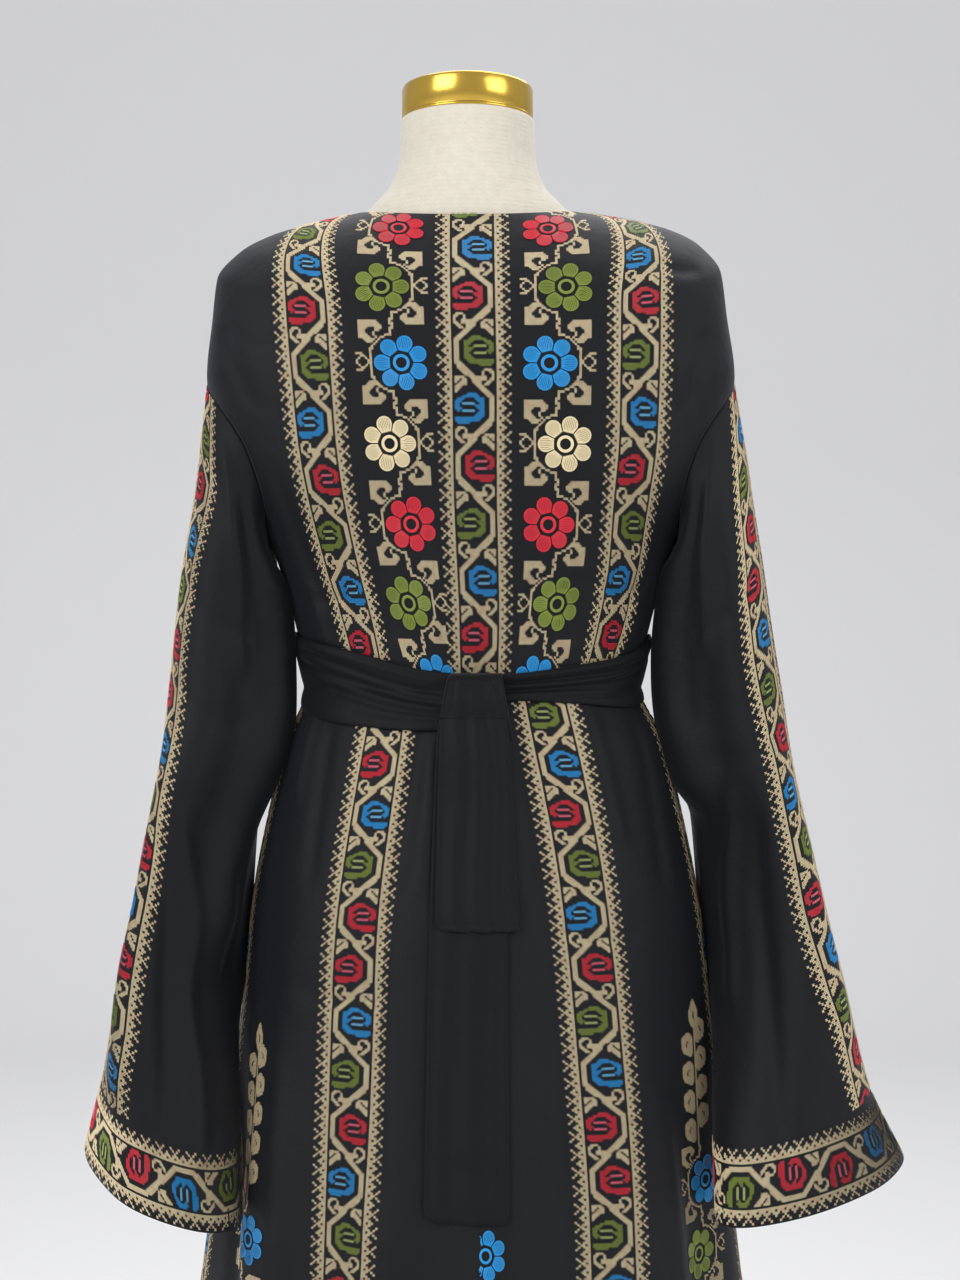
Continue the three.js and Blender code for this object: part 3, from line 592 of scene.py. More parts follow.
bodiceLook = {
    "thick": 1.2,
    "columns": 121,
    "backCreases": [
        ("across", [(-100, 1371), (-60, 1366), (-24, 1368)], -0.9, 3.5),
        ("across", [(36, 1369), (75, 1366), (104, 1371)], -0.9, 3.5),
        ("down", [(1160, -26), (1110, -24), (1062, -18)], 3.2, 6),
        ("down", [(1330, 196), (1285, 186), (1235, 172)], -3, 9),
        ("down", [(1290, 166), (1262, 172), (1238, 180)], 2, 6),
        ("across", [(150, 1392), (175, 1384), (200, 1381)], -2, 4),
        ("down", [(1340, -208), (1285, -188), (1240, -168)], -3, 9),
        ("down", [(1215, -160), (1150, -140), (1080, -112)], -2.4, 9),
        ("down", [(1190, 168), (1140, 160), (1086, 138)], -2.6, 9),
        ("down", [(1118, -134), (1060, -118)], 2.2, 5),
        ("down", [(1130, -72), (1062, -56)], -2.2, 6),
        ("down", [(1120, 50), (1050, 44)], -2.0, 6),
        ("down", [(1124, 92), (1060, 84)], -2.4, 7),
        ("down", [(1110, 150), (1062, 136)], 2.0, 5),
        ("across", [(-150, 1106), (-120, 1098), (-86, 1100)], -1.2, 5),
        ("across", [(92, 1112), (128, 1104), (164, 1110)], -1.2, 5),
        ("across", [(-206, 1330), (-170, 1318), (-130, 1322)], -1.4, 6),
    ],
    "frontCreases": [
        ("down", [(1330, -200), (1285, -186), (1235, -170)], -3, 9),
        ("down", [(1330, 204), (1285, 190), (1235, 174)], -3, 10),
        ("down", [(1230, -140), (1160, -118), (1080, -96)], -2.4, 10),
        ("down", [(1225, 150), (1150, 124), (1080, 108)], -2.2, 9),
        ("down", [(1120, -60), (1056, -48)], 2.2, 6),
        ("down", [(1112, 64), (1050, 52)], 2.0, 6),
        ("across", [(-70, 1240), (0, 1232), (66, 1244)], -1.4, 8),
        ("across", [(-150, 1110), (-110, 1102), (-70, 1108)], -1.4, 5),
        ("across", [(74, 1116), (112, 1106), (150, 1112)], -1.4, 5),
    ],
}


# The panel's rows: over the shoulder, round the armhole, then down to the waist.
def bodiceCloth(face, creases):
    t = np.linspace(0, 1, 55)[:-1]
    shoulder = levels["neck"] - (levels["neck"] - levels["shoulder"]) * t ** 1.35
    armhole = levels["armhole"] + 67 * np.cos(np.pi * np.linspace(0, 1, 49))[:-1]
    side = np.concatenate([shoulder, armhole, np.linspace(levels["underarm"], levels["waist"] + 0.15, 46)])
    share = np.linspace(-1, 1, bodiceLook["columns"])[None, :] + 0 * side[:, None]
    coveredL, coveredR = coveredShare(face, side)
    share = share * np.where(share > 0, coveredR[:, None], coveredL[:, None])
    cloth = newCloth(bodiceSurface(face, share, side), side, bodiceLook["columns"] // 2, face)
    return addCreases(cloth, creases)


bodiceBackCloth = bodiceCloth(-1, bodiceLook["backCreases"])
bodiceFrontCloth = bodiceCloth(1, bodiceLook["frontCreases"])

skirtLook = {
    "thick": 1.2,
    "rows": 117,
    "columns": 121,
    "backCreases": [
        ("down", [(1010, -112), (940, -122), (870, -130)], -2.4, 7),
        ("down", [(1026, -128), (975, -142), (930, -150)], 2.4, 6),
        ("down", [(1024, -30), (960, -42), (880, -56), (780, -70), (600, -64)], -3.4, 8),
        ("down", [(1000, -26), (900, -34), (860, -38)], 2.5, 6),
        ("down", [(1024, 96), (960, 112), (900, 128)], 3.0, 8),
        ("down", [(1018, 40), (940, 48), (860, 52)], -2.6, 8),
        ("down", [(1022, 140), (950, 160), (860, 172)], -2.6, 8),
        ("down", [(740, 158), (600, 176), (400, 196), (60, 214)], 4.5, 12),
        ("down", [(760, -226), (640, -216), (480, -214), (60, -232)], -5, 12),
        ("down", [(800, -160), (640, -156), (400, -160), (90, -176)], 3.5, 11),
        ("down", [(640, 8), (500, 18), (300, 22), (60, 26)], 5, 10),
        ("down", [(560, -44), (420, -40), (240, -36), (60, -30)], -4.5, 12),
        ("down", [(620, 70), (420, 78), (60, 84)], -4, 14),
        ("down", [(520, 258), (300, 270), (60, 282)], -5, 14),
        ("down", [(500, -290), (300, -310), (60, -330)], 4.5, 13),
        ("down", [(560, 320), (300, 346), (50, 366)], 4, 12),
        ("across", [(-150, 800), (-100, 788), (-50, 796)], -1.5, 7),
        ("across", [(60, 846), (110, 834), (150, 842)], -1.3, 6),
        ("across", [(-170, 560), (-110, 548), (-60, 556)], -1.2, 7),
    ],
    "frontCreases": [
        ("down", [(1024, -90), (950, -104), (880, -120)], 2.6, 7),
        ("down", [(1022, 86), (940, 102), (870, 120)], -2.6, 8),
        ("down", [(1018, -34), (900, -40), (780, -46)], -2.4, 8),
        ("down", [(1016, 30), (920, 36), (820, 44)], 2.2, 7),
        ("down", [(780, -190), (560, -200), (60, -226)], -4.6, 13),
        ("down", [(700, 150), (480, 166), (60, 186)], 4.2, 12),
        ("down", [(640, -70), (420, -66), (60, -60)], 4.4, 11),
        ("down", [(600, 34), (400, 40), (60, 52)], -4.2, 12),
        ("down", [(560, 250), (300, 276), (60, 300)], -4.8, 14),
        ("down", [(520, -300), (300, -324), (60, -346)], 4, 12),
        ("across", [(-130, 760), (-80, 748), (-30, 756)], -1.4, 7),
    ],
}


def skirtCloth(face, creases):
    t = np.linspace(0, 1, skirtLook["rows"])
    z = 1027.85 - 989.85 * (0.75 * t + 0.25 * t * t)
    share = np.linspace(-1, 1, skirtLook["columns"])[None, :] + 0 * z[:, None]
    cloth = newCloth(skirtSurface(face, share, z), z, skirtLook["columns"] // 2, face)
    return addCreases(cloth, creases, edgeFree=12)


skirtBackCloth = skirtCloth(-1, skirtLook["backCreases"])
skirtFrontCloth = skirtCloth(1, skirtLook["frontCreases"])

# Creases on a sleeve are placed by the length round it from its outermost line, which is 0.
sleeveLook = {
    "thick": 1.2,
    "rows": 97,
    "columns": 113,
    "leftCreases": [
        ("down", [(1205, 178), (1120, 180), (1040, 178), (960, 170), (880, 166), (800, 170)], 19, 32),
        ("down", [(1212, 78), (1172, 112), (1120, 130), (1040, 136)], 3, 8),
        ("down", [(1210, 118), (1150, 146), (1090, 158), (1010, 160)], -3.2, 9),
        ("down", [(945, 104), (855, 138), (796, 148), (738, 158), (668, 162)], 4, 8),
        ("down", [(930, 84), (850, 120), (760, 128), (668, 134)], -3.5, 9),
        ("down", [(910, 168), (876, 180), (800, 186)], -3, 7),
        ("down", [(1100, 20), (960, 12), (820, 6), (690, 0)], -2.5, 12),
        ("down", [(1130, -70), (980, -80), (800, -84), (680, -96)], -4, 13),
        ("down", [(1090, -130), (940, -120), (760, -112)], 3.5, 10),
        ("across", [(60, 1094), (100, 1082), (150, 1090)], -1.8, 6),
        ("across", [(70, 1020), (112, 1010), (150, 1018)], -1.5, 6),
    ],
    "rightCreases": [
        ("down", [(1205, 180), (1120, 184), (1060, 184), (1000, 180), (930, 176)], 15, 34),
        ("down", [(1210, 92), (1182, 118), (1138, 132), (1060, 134)], 3, 8),
        ("down", [(1208, 126), (1150, 150), (1090, 158), (1000, 158)], -3.2, 9),
        ("down", [(980, 128), (940, 146), (873, 172), (780, 178)], 4, 9),
        ("down", [(960, 114), (860, 138), (760, 140), (664, 146)], -3.4, 9),
        ("down", [(1100, 18), (960, 14), (820, 10), (690, 0)], -2.5, 12),
        ("down", [(1130, -72), (980, -84), (800, -90), (680, -100)], -4, 13),
        ("down", [(1080, -128), (930, -120), (750, -118)], 3.5, 10),
        ("across", [(66, 1100), (104, 1088), (152, 1094)], -1.8, 6),
        ("across", [(74, 990), (112, 980), (156, 988)], -1.5, 6),
    ],
}


def sleeveCloth(sleeve, creases):
    t = np.linspace(0, 1, sleeveLook["rows"])
    at = levels["armhole"] + (sleeve["rows"][-1][0] - levels["armhole"]) * t ** 1.15
    degrees = np.linspace(-180, 180, sleeveLook["columns"])
    points = sleeveSurface(sleeve, degrees, at)
    cloth = newCloth(points, at, sleeveLook["columns"] // 2, sleeve["direction"], closed=True)
    return addCreases(cloth, creases)


sleeveLeftCloth = sleeveCloth(leftSleeve, sleeveLook["leftCreases"])
sleeveRightCloth = sleeveCloth(rightSleeve, sleeveLook["rightCreases"])

# The waist sash: it rises from the knot to the sides. "edges" lists how far round it is, from the left side over the
# back, with the heights of its upper and lower edge. Its creases run together at the knot.
sashLook = {
    "edges": [(0, 1074, 1021), (0.07, 1067, 1007), (0.125, 1059, 1000), (0.21, 1043, 996), (0.255, 1040, 997),
              (0.292, 1040.5, 1019), (0.36, 1047, 1016.5), (0.42, 1055, 1013), (0.475, 1068, 1018), (0.5, 1072, 1022),
              (0.62, 1073, 1017), (0.75, 1070, 1015), (0.88, 1073, 1018), (1, 1074, 1021)],
    "stands": 2.9, "puff": 3.0, "thick": 2.2, "rows": 33, "columns": 201,
    "creases": [
        ("across", [(-162, 48), (-110, 43), (-60, 38), (-8, 36)], -2.2, 2.6),
        ("across", [(-172, 37), (-90, 32), (-8, 25)], -2.5, 3.4),
        ("across", [(-130, 25), (-70, 19), (-6, 14)], -1.8, 3.2),
        ("across", [(-166, 53), (-90, 50), (-8, 46)], 1.5, 2.8),
        ("across", [(-150, 30), (-70, 24), (-6, 20)], 1.3, 3.4),
        ("across", [(-104, 10), (-56, 7), (-10, 7)], -1.0, 3),
        ("across", [(6, 49), (80, 49), (168, 51)], 1.9, 3.6),
        ("across", [(6, 38), (80, 38), (172, 43)], -2.5, 3.4),
        ("across", [(8, 18), (60, 22), (120, 27), (176, 33)], -2.3, 4),
        ("across", [(20, 28), (100, 32), (160, 38)], 1.2, 3.4),
        ("across", [(70, 8), (116, 12), (158, 19)], -1.3, 3),
        ("across", [(170, 40), (250, 35), (330, 38), (420, 32), (490, 40)], -2.2, 3.4),
        ("across", [(190, 20), (280, 24), (360, 17), (460, 24)], -2.0, 3.8),
        ("across", [(172, 50), (320, 47), (486, 51)], 1.4, 3.2),
        ("across", [(230, 9), (330, 12), (420, 8)], -1.1, 3),
    ],
}


def waistSurface(face, share, z):
    above = bodiceSurface(face, share, np.maximum(z, levels["waist"]))
    below = skirtSurface(face, share, np.minimum(z, levels["waist"]))
    return np.where((z >= levels["waist"])[:, None, None], above, below)


def sashCloth():
    t = np.linspace(0, 1, sashLook["columns"])
    face = np.where(t < 0.5, -1, 1)
    share = np.where(t < 0.5, 4 * t - 1, 3 - 4 * t)
    edges = np.array(sashLook["edges"])
    top, bottom = curve(edges[:, 0], edges[:, 1])(t), curve(edges[:, 0], edges[:, 2])(t)
    rows = []
    for down in np.linspace(0, 1, sashLook["rows"]):
        z = top + (bottom - top) * down
        back = waistSurface(-1, share[:, None], z)[:, 0]
        front = waistSurface(1, share[:, None], z)[:, 0]
        point = np.where((face < 0)[:, None], back, front)
        outward = np.stack([point[:, 0], 1.5 * point[:, 1]], 1)
        outward /= np.linalg.norm(outward, axis=1, keepdims=True)
        # its section is a flat arch: both edges lie closer to the dress than its middle
        stands = sashLook["stands"] + sashLook["puff"] * (1 - abs(2 * down - 1) ** 4)
        point[:, :2] += outward * stands
        rows.append(point)
    points = np.stack(rows)
    points[:, -1] = points[:, 0]
    cloth = newCloth(points, np.linspace(56, 0, sashLook["rows"]), sashLook["columns"] // 4, -1, closed=True)
    return addCreases(cloth, sashLook["creases"])


# A tail lies on the skirt's back; its edges drift with the square root of the way down, and it has long soft folds.
tails = {
    "short": {"top": 1006.6, "bottom": 845, "left": (-20, -24), "right": (30, 41), "layer": 1,
              "folds": [(0.24, 1.6, 0.09), (0.52, 2.2, 0.1), (0.8, 1.5, 0.08)], "creases": [(0.5, 0.3)]},
    "long": {"top": 1006.6, "bottom": 632, "left": (-21, -32), "right": (30, 33), "layer": 0,
             "folds": [(0.2, 1.0, 0.07), (0.55, 1.3, 0.12), (0.86, 1.0, 0.07)],
             "creases": [(0.7, 0.3), (0.84, 0.7), (0.9, -0.6), (0.95, 0.5)]},
    "thick": 1.4, "rows": 97, "columns": 33, "gap": 2.6, "corner": 9, "hemAt": 4.5, "hemWide": 0.9, "hemDeep": 0.7,
}


def tailCloth(tail):
    down = np.linspace(0, 1, tails["rows"])
    z = tail["top"] + (tail["bottom"] - tail["top"]) * down
    left = tail["left"][0] + (tail["left"][1] - tail["left"][0]) * np.sqrt(down)
    right = tail["right"][0] + (tail["right"][1] - tail["right"][0]) * np.sqrt(down)
    t = np.linspace(0, 1, tails["columns"])[None, :]
    # the lower left corner is turned under, in a curve
    corner = tails["corner"]
    left = left + corner * (1 - np.sqrt(1 - np.clip((tail["bottom"] + corner - z) / corner, 0, 1) ** 2)) * 0.8
    x = left[:, None] + (right - left)[:, None] * t
    depth, square = skirt["back"](z), skirt["square"](z)
    _, _, totalL, totalR = halves(skirt["left"](z), skirt["right"](z), depth, square, 0 * x)
    share = x / np.where(x > 0, totalR[:, None], totalL[:, None])
    under = skirtSurface(-1, share, z)
    drop = 9 * smooth((z - 935) / 60)[:, None]
    points = np.stack([x, under[..., 1] - drop - (tail["layer"] + 1) * tails["gap"] - 0.4, z[:, None] + 0 * x], axis=-1)
    out = 0
    for place, height, width in tail["folds"]:
        out = out + height * np.exp(-((t - place - 0.03 * np.sin(6 * down[:, None])) / width) ** 2)
    for place, height in tail["creases"]:
        out = out + height * np.exp(-((down[:, None] - place - 0.05 * (t - 0.4)) / 0.02) ** 2) * np.sin(np.pi * t)
    # a hem groove just inside each long edge and above the end
    length = z.max() - z.min()
    for away in (t * 60, (1 - t) * 60, (1 - down[:, None]) * length):
        out = out - tails["hemDeep"] * np.exp(-((away - tails["hemAt"]) / tails["hemWide"]) ** 2)
    points[..., 1] -= np.maximum(out, -0.6)
    return newCloth(points, z, tails["columns"] // 2, -1)


sashWrapCloth = sashCloth()
tailShortCloth = tailCloth(tails["short"])
tailLongCloth = tailCloth(tails["long"])

for name, cloth, thick, material, face in (
        ("bodiceBack", bodiceBackCloth, bodiceLook["thick"], crepe, -1),
        ("bodiceFront", bodiceFrontCloth, bodiceLook["thick"], crepe, 1),
        ("skirtBack", skirtBackCloth, skirtLook["thick"], crepe, -1),
        ("skirtFront", skirtFrontCloth, skirtLook["thick"], crepe, 1),
        ("sleeveLeft", sleeveLeftCloth, sleeveLook["thick"], crepe, 0),
        ("sleeveRight", sleeveRightCloth, sleeveLook["thick"], crepe, 0),
        ("sashWrap", sashWrapCloth, sashLook["thick"], sashCrepe, 0),
        ("sashTailShort", tailShortCloth, tails["thick"], sashCrepe, 0),
        ("sashTailLong", tailLongCloth, tails["thick"], sashCrepe, 0)):
    clothPiece(name, cloth, thick, material, face)
print("the cloth pieces are made")

# The knot: the sash's end comes out behind the wrap's top edge, rolls over it and falls smoothly into the upper tail.
# Across, it runs between slanting side edges; a gather starts at its upper left and a long crease runs down its right.
knotLook = {
    "top": (-15, 27.6), "bottom": (-24, 36.5), "height": (1041, 988), "behind": 101.2, "roll": 8, "rollShare": 0.3,
    "pull": 1.2,
    # each crease: its place across at the top and at the bottom, its height (troughs are negative) and its width
    "creases": [(0.78, 0.93, -1.7, 0.045), (0.67, 0.82, 0.9, 0.07), (0.33, 0.38, 0.9, 0.09), (0.16, 0.2, -0.9, 0.04),
                (0.09, 0.11, 0.7, 0.03), (0.5, 0.56, -0.7, 0.06)],
}


def knotPiece():
    look = knotLook
    high, low = look["height"]
    down = np.linspace(0, 1, 42)[:, None]
    t = np.linspace(0, 1, 49)[None, :]
    turned = np.pi / 2 * np.clip(down / look["rollShare"], 0, 1)
    fallen = np.clip((down - look["rollShare"]) / 0.68, 0, 1)
    lower = smooth((fallen - 0.52) / 0.48)
    z = high - look["roll"] * (1 - np.cos(turned)) - (high - look["roll"] - low) * fallen
    share = (high - z) / (high - low)
    left = look["top"][0] + (look["bottom"][0] - look["top"][0]) * share
    left = left + 5 * (1 - np.sqrt(1 - np.clip(1 - (high - z) / 7, 0, 1) ** 2))
    right = look["top"][1] + (look["bottom"][1] - look["top"][1]) * share
    x = left + (right - left) * t
    tailTop = tailShortCloth["points"][0]
    front = -np.interp(x, tailTop[:, 0], tailTop[:, 1])
    relief = sum(height * np.exp(-((t - first - (last - first) * share) / width) ** 2)
                 for first, last, height, width in look["creases"])
    pulled = look["pull"] * np.sin(np.pi * np.minimum(fallen / 0.6, 1)) ** 2 + 0.25 - 1.1 * lower
    reach = front + pulled + relief * (1 - smooth(fallen / 0.62))
    # below the tail's top the knot is a thin tongue inside the tail's own thickness
    behind = look["behind"] + (front - 1.3 - look["behind"]) * smooth((1008 - z) / 4)
    edge = (1 - np.abs(2 * t - 1) ** 9) ** (1 / 9)
    forward = np.where(down >= 1, 0, np.sin(turned)) * edge
    y = -(behind + (reach - behind) * forward)
    grid = np.stack([x, y, z + 0 * x], axis=-1)
    rows, columns = grid.shape[:2]
    flat = grid.copy()
    flat[..., 1] = -behind
    numbers = rows * columns + np.arange(rows * columns).reshape(rows, columns)
    for side in (np.s_[0], np.s_[-1], np.s_[:, 0], np.s_[:, -1]):
        numbers[side] -= rows * columns
    faces = np.concatenate([gridFaces(rows, columns, flip=True), numbers.ravel()[gridFaces(rows, columns)]])
    used, numbers = np.unique(faces, return_inverse=True)
    vertices = np.concatenate([grid.reshape(-1, 3), flat.reshape(-1, 3)])[used]
    return standsFor(newPiece("sashKnot", vertices, numbers.reshape(-1, 4), [sashCrepe]))


sashKnot = knotPiece()

# ---- embroidery: charts for cross-stitch ----

# One side of a band's edge, from its solid inner line outwards; eight rows that repeat.
edgeChart = ["c.cc..", "ccc.c.", "cc...c", "ccc...", "c.cc..", "ccc...", "cc...c", "ccc.c."]
# One motif between the two edges: c is cream, m the motif's colour and l its paler shade. The next one is its mirror
# image.
fieldChart = [
    ".cc.cc..cccccc.cc.",
    ".c.ccc..cccc..cc..",
    "..cccc...ccc.cc...",
    ".ccc......ccc.....",
    ".cc........ccc....",
    ".c..........ccc...",
    "......mmmm...ccc..",
    "....mmmmmmm...ccc.",
    "..mmm....mmmm..cc.",
    ".mmm......mmm..cc.",
    ".mm.lllll..mm..cc.",
    ".mm......mmmm..cc.",
    ".mmm......mmm..cc.",
    "..m.lllll..mm..cc.",
    "..........mmm..cc.",
    ".........mmmm..cc.",
    ".mmmmmmmmmmm...cc.",
    ".mmmmmmmmmm...ccc.",
    "..mmmmm......ccc..",
    "............cccc..",
    "..ccc......cccc...",
    ".cc..c....cccc....",
    ".c...c...cccc.....",
    ".c..ccccccc..cccc.",
]
# A scroll between two flowers, and its place from the flower's centre: first column and first row.
scrollChart = [
    "....ccc...",
    "...ccccc..",
    "..c..ccccc",
    "...c..cccc",
    "...c...ccc",
    ".cc....ccc",
    "ccc...cccc",
    "cccccccccc",
    ".ccccccccc",
    "..cccccccc",
]
# The vine beside a flower, below its centre: each row's first and last column. Above the centre it is the same,
# mirrored.
vineChart = 6 * [(26, 26)] + [(25, 26), (25, 25), (24, 24), (23, 23), (22, 22), (20, 21), (17, 19), (17, 17), (17, 17),
                              (16, 17), (16, 16)]
sprigChart = ["...ccc", "..cc..", ".c..c.", "c....c", "c....c", ".c..c.", "..cc..", "...ccc"]
topLeafChart = ["...c...", "..ccc..", "..ccc..", ".ccccc.", ".ccccc.", "ccccccc", "ccc.ccc", "ccc.ccc", "ccc.ccc",
                "ccc.ccc", "ccccccc", ".ccccc.", ".ccccc.", "..ccc..", "...c..."]
sideLeafChart = ["...ccc..", ".cccccc.", "cccccccc", "cccccccc", "cccc.ccc", "ccc.cccc", "ccc.cccc", "cccccccc",
                 ".ccccccc", ".ccccccc", "...ccccc", ".....cc."]


# A chart's stitches as an array: column, row and thread (0 cream, 1 the motif's colour, 2 its paler shade).
def stitchesOf(chart, column, row):
    found = [(column + j, row + i, "cml".index(mark))
             for i, line in enumerate(chart) for j, mark in enumerate(line) if mark != "."]
    return np.array(found, float)


def mirrored(stitches, width):
    return stitches * [-1, 1, 1] + [width - 1, 0, 0]


motifRows, bandColumns = 24, 30
field = stitchesOf(fieldChart, 6, 0)
innerEdge = stitchesOf([edgeChart[i % 8] for i in range(motifRows)], 24, 0)
bandEdges = np.concatenate([innerEdge, mirrored(innerEdge, bandColumns)])
bandMotifs = [np.concatenate([field, bandEdges]), np.concatenate([mirrored(field, bandColumns), bandEdges])]

blockColumns, blockRows = 34, 34
vineBelow = [(c, r, 0) for r, (a, b) in enumerate(vineChart) for c in range(a, b + 1)]
vineAbove = [(c, -r, 0) for c, r, _ in vineBelow if 0 < r < 17] + [(16, -17, 0), (17, -17, 0)]
scroll = stitchesOf(scrollChart, 21, 8)
blockStitches = np.concatenate([
    np.array(vineBelow + vineAbove, float), scroll, scroll * [1, -1, 1] + [0, -1, 0], stitchesOf(sprigChart, 27, -4)])


# A leafy branch over a column of flowers: its stem ends at row 72, and it has so many pairs of leaves under its top
# leaf.
def branchOf(pairs):
    first = 14 * (4 - pairs)
    return np.concatenate(
        [stitchesOf(topLeafChart, 13, first), np.array([(16, row, 0) for row in range(first + 15, 72)], float)]
        + [stitchesOf(sideLeafChart, 7, first + 16 + 14 * k) for k in range(pairs)]
        + [mirrored(stitchesOf(sideLeafChart, 8, 0), 33) + [0, first + 10 + 14 * k, 0] for k in range(pairs)])

# A stitch's width, half the width of its bars, how much of the stitch they reach over, how high the lower and the
# upper bar lie, how far each is tilted, how far a stitch strays, the step by which the cloth's slope is felt, and the
# share of cream stitches that look rosy.
stitch = {"wide": 1.87, "bar": 0.22, "reach": 0.98, "low": 0.4, "high": 0.62, "tilt": 0.12, "strays": 0.05, "step": 0.9,
          "rosy": 0.28}
# A flower's petals run from their inner end, with half its width, to the centre of their round head and its radius.
flower = {"petals": 7, "inner": 8.9, "foot": 3.9, "head": 15.7, "round": 6.5, "strands": 8, "strand": 0.46,
          "ring": (4.4, 6.8)}
sewn = {}


def colourOf(line, k):
    letter = line["colours"][k % len(line["colours"])]
    return {"c": "cream", "r": "red", "g": "green", "b": "blue"}[letter]


def keep(region, thread, vertices, faces, faceMaterials):
    sewn.setdefault((region, thread), []).append((vertices, faces, faceMaterials))


# Sews a chart: every stitch is two flat crossing bars, the upper one lying over the lower, each tilted a little.
def sew(region, cloth, line, stitches, colour, pitch):
    across = (stitches[:, 0] - (line["columns"] - 1) / 2) * stitch["wide"]
    down = stitches[:, 1] * pitch
    across = across + chance.normal(0, stitch["strays"], len(across))
    down = down + chance.normal(0, stitch["strays"], len(down))
    here, inside = layOut(cloth, line, across, down)
    right, insideRight = layOut(cloth, line, across + stitch["step"], down)
    below, insideBelow = layOut(cloth, line, across, down + stitch["step"])
    good = inside & insideRight & insideBelow & (across > line.get("shown", -99))
    right, below = (right - here)[good] / stitch["step"], (below - here)[good] / stitch["step"]
    here, kinds = here[good], stitches[good, 2]
    outward = cloth["sign"] * np.cross(right, below)
    outward /= np.maximum(np.linalg.norm(outward, axis=1, keepdims=True), 1e-9)
    halfWide = stitch["wide"] / 2 * stitch["reach"]
    halfTall = pitch / 2 * stitch["reach"]
    bars = []
    for slope, height in ((1, stitch["low"]), (-1, stitch["high"])):
        along = right * halfWide + below * (halfTall * slope)
        side = np.cross(outward, along)
        side *= stitch["bar"] / np.linalg.norm(side, axis=1, keepdims=True)
        up, lean = outward * height, outward * stitch["tilt"]
        bars += [here - along - side + up - lean, here + along - side + up - lean,
                 here + along + side + up + lean, here - along + side + up + lean]
    corners = np.stack(bars, axis=1)
    for thread, wanted in (("cream", kinds == 0), (colour, kinds > 0)):
        count = int(wanted.sum())
        if count:
            faces = np.arange(count * 8).reshape(-1, 4)
            shade = chance.random(count) < stitch["rosy"] if thread == "cream" else kinds[wanted] == 2
            keep(region, thread, corners[wanted].reshape(-1, 3), faces, np.repeat(shade.astype(int), 2))


# A flower's own shapes, flat: round-headed petals and a raised ring inside them. A petal is a sheet in a darker colour,
# painted shade for the gaps between its strands, with strands that fan out over it in two lengths and a raised cord
# along its rim. The rim is an arc of a circle round the petal's head, whose ends run down to the petal's foot.
def flowerShape(scale):
    look = flower
    shapes, faces, kinds = [], [], []

    def add(points, quads, kind):
        faces.append(quads + sum(len(part) for part in shapes))
        shapes.append(points * [scale, scale, 1])
        kinds.append(np.full(len(quads), kind))

    swing = np.radians(np.linspace(-128, 128, 11))
    rim = np.concatenate([[[look["inner"], -look["foot"]]],
                          np.stack([look["head"] + look["round"] * np.cos(swing), look["round"] * np.sin(swing)], 1),
                          [[look["inner"], look["foot"]]]])
    middle = np.array([look["head"] - 1, 0])
    s = np.linspace(-0.84, 0.84, look["strands"])
    foot = np.stack([look["inner"] + 0.5 + 0 * s, 0.92 * look["foot"] * s], 1)
    head = np.stack([look["head"] - 1.2 - 1.1 * (np.arange(len(s)) % 2), 0.93 * look["round"] * s], 1)
    tip = np.stack([look["head"] + 0.88 * look["round"] * np.sqrt(1 - s * s), 0.86 * look["round"] * s], 1)
    for k in range(look["petals"]):
        turn = 2 * np.pi * k / look["petals"]
        spin = np.array([[np.cos(turn), np.sin(turn)], [-np.sin(turn), np.cos(turn)]])
        cord = [np.column_stack([(middle + (rim - middle) * part) @ spin, np.full(len(rim), height)])
                for part, height in ((1.0, 0.3), (0.93, 0.95), (0.85, 0.4))]
        add(np.concatenate(cord), gridFaces(3, len(rim)), 0)
        # a sheet in the darker colour under the strands: painted shade for the gaps between them
        paintedShadeBed = np.stack([rim[:6], rim[:6:-1]], axis=1).reshape(-1, 2)
        add(np.column_stack([paintedShadeBed @ spin, np.full(12, 0.2)]), gridFaces(6, 2, flip=True), 2)
        for start, end, lift in ((foot, head, 0.45), (head - [0.5, 0], tip, 0.55)):
            along = end - start
            beside = np.stack([-along[:, 1], along[:, 0]], 1) / np.linalg.norm(along, axis=1, keepdims=True)
            beside = beside * look["strand"]
            corners = np.stack([start - beside, end - beside, end + beside, start + beside], axis=1) @ spin
            heights = lift + 0.12 * (np.arange(len(s)) % 2)[:, None] + np.array([0, 0, 0.16, 0.16])
            strands = np.concatenate([corners, heights[..., None]], axis=-1).reshape(-1, 3)
            add(strands, np.arange(4 * len(s)).reshape(-1, 4), 0)
    angle = 2 * np.pi * np.arange(24) / 24
    rings = [(look["ring"][0], 0.25), (sum(look["ring"]) / 2, 0.95), (look["ring"][1], 0.25)]
    add(np.concatenate([np.stack([r * np.cos(angle), r * np.sin(angle), h + 0 * angle], 1) for r, h in rings]),
        gridFaces(3, 24, closed=True, flip=True), 0)
    return np.concatenate(shapes), np.concatenate(faces), np.concatenate(kinds)


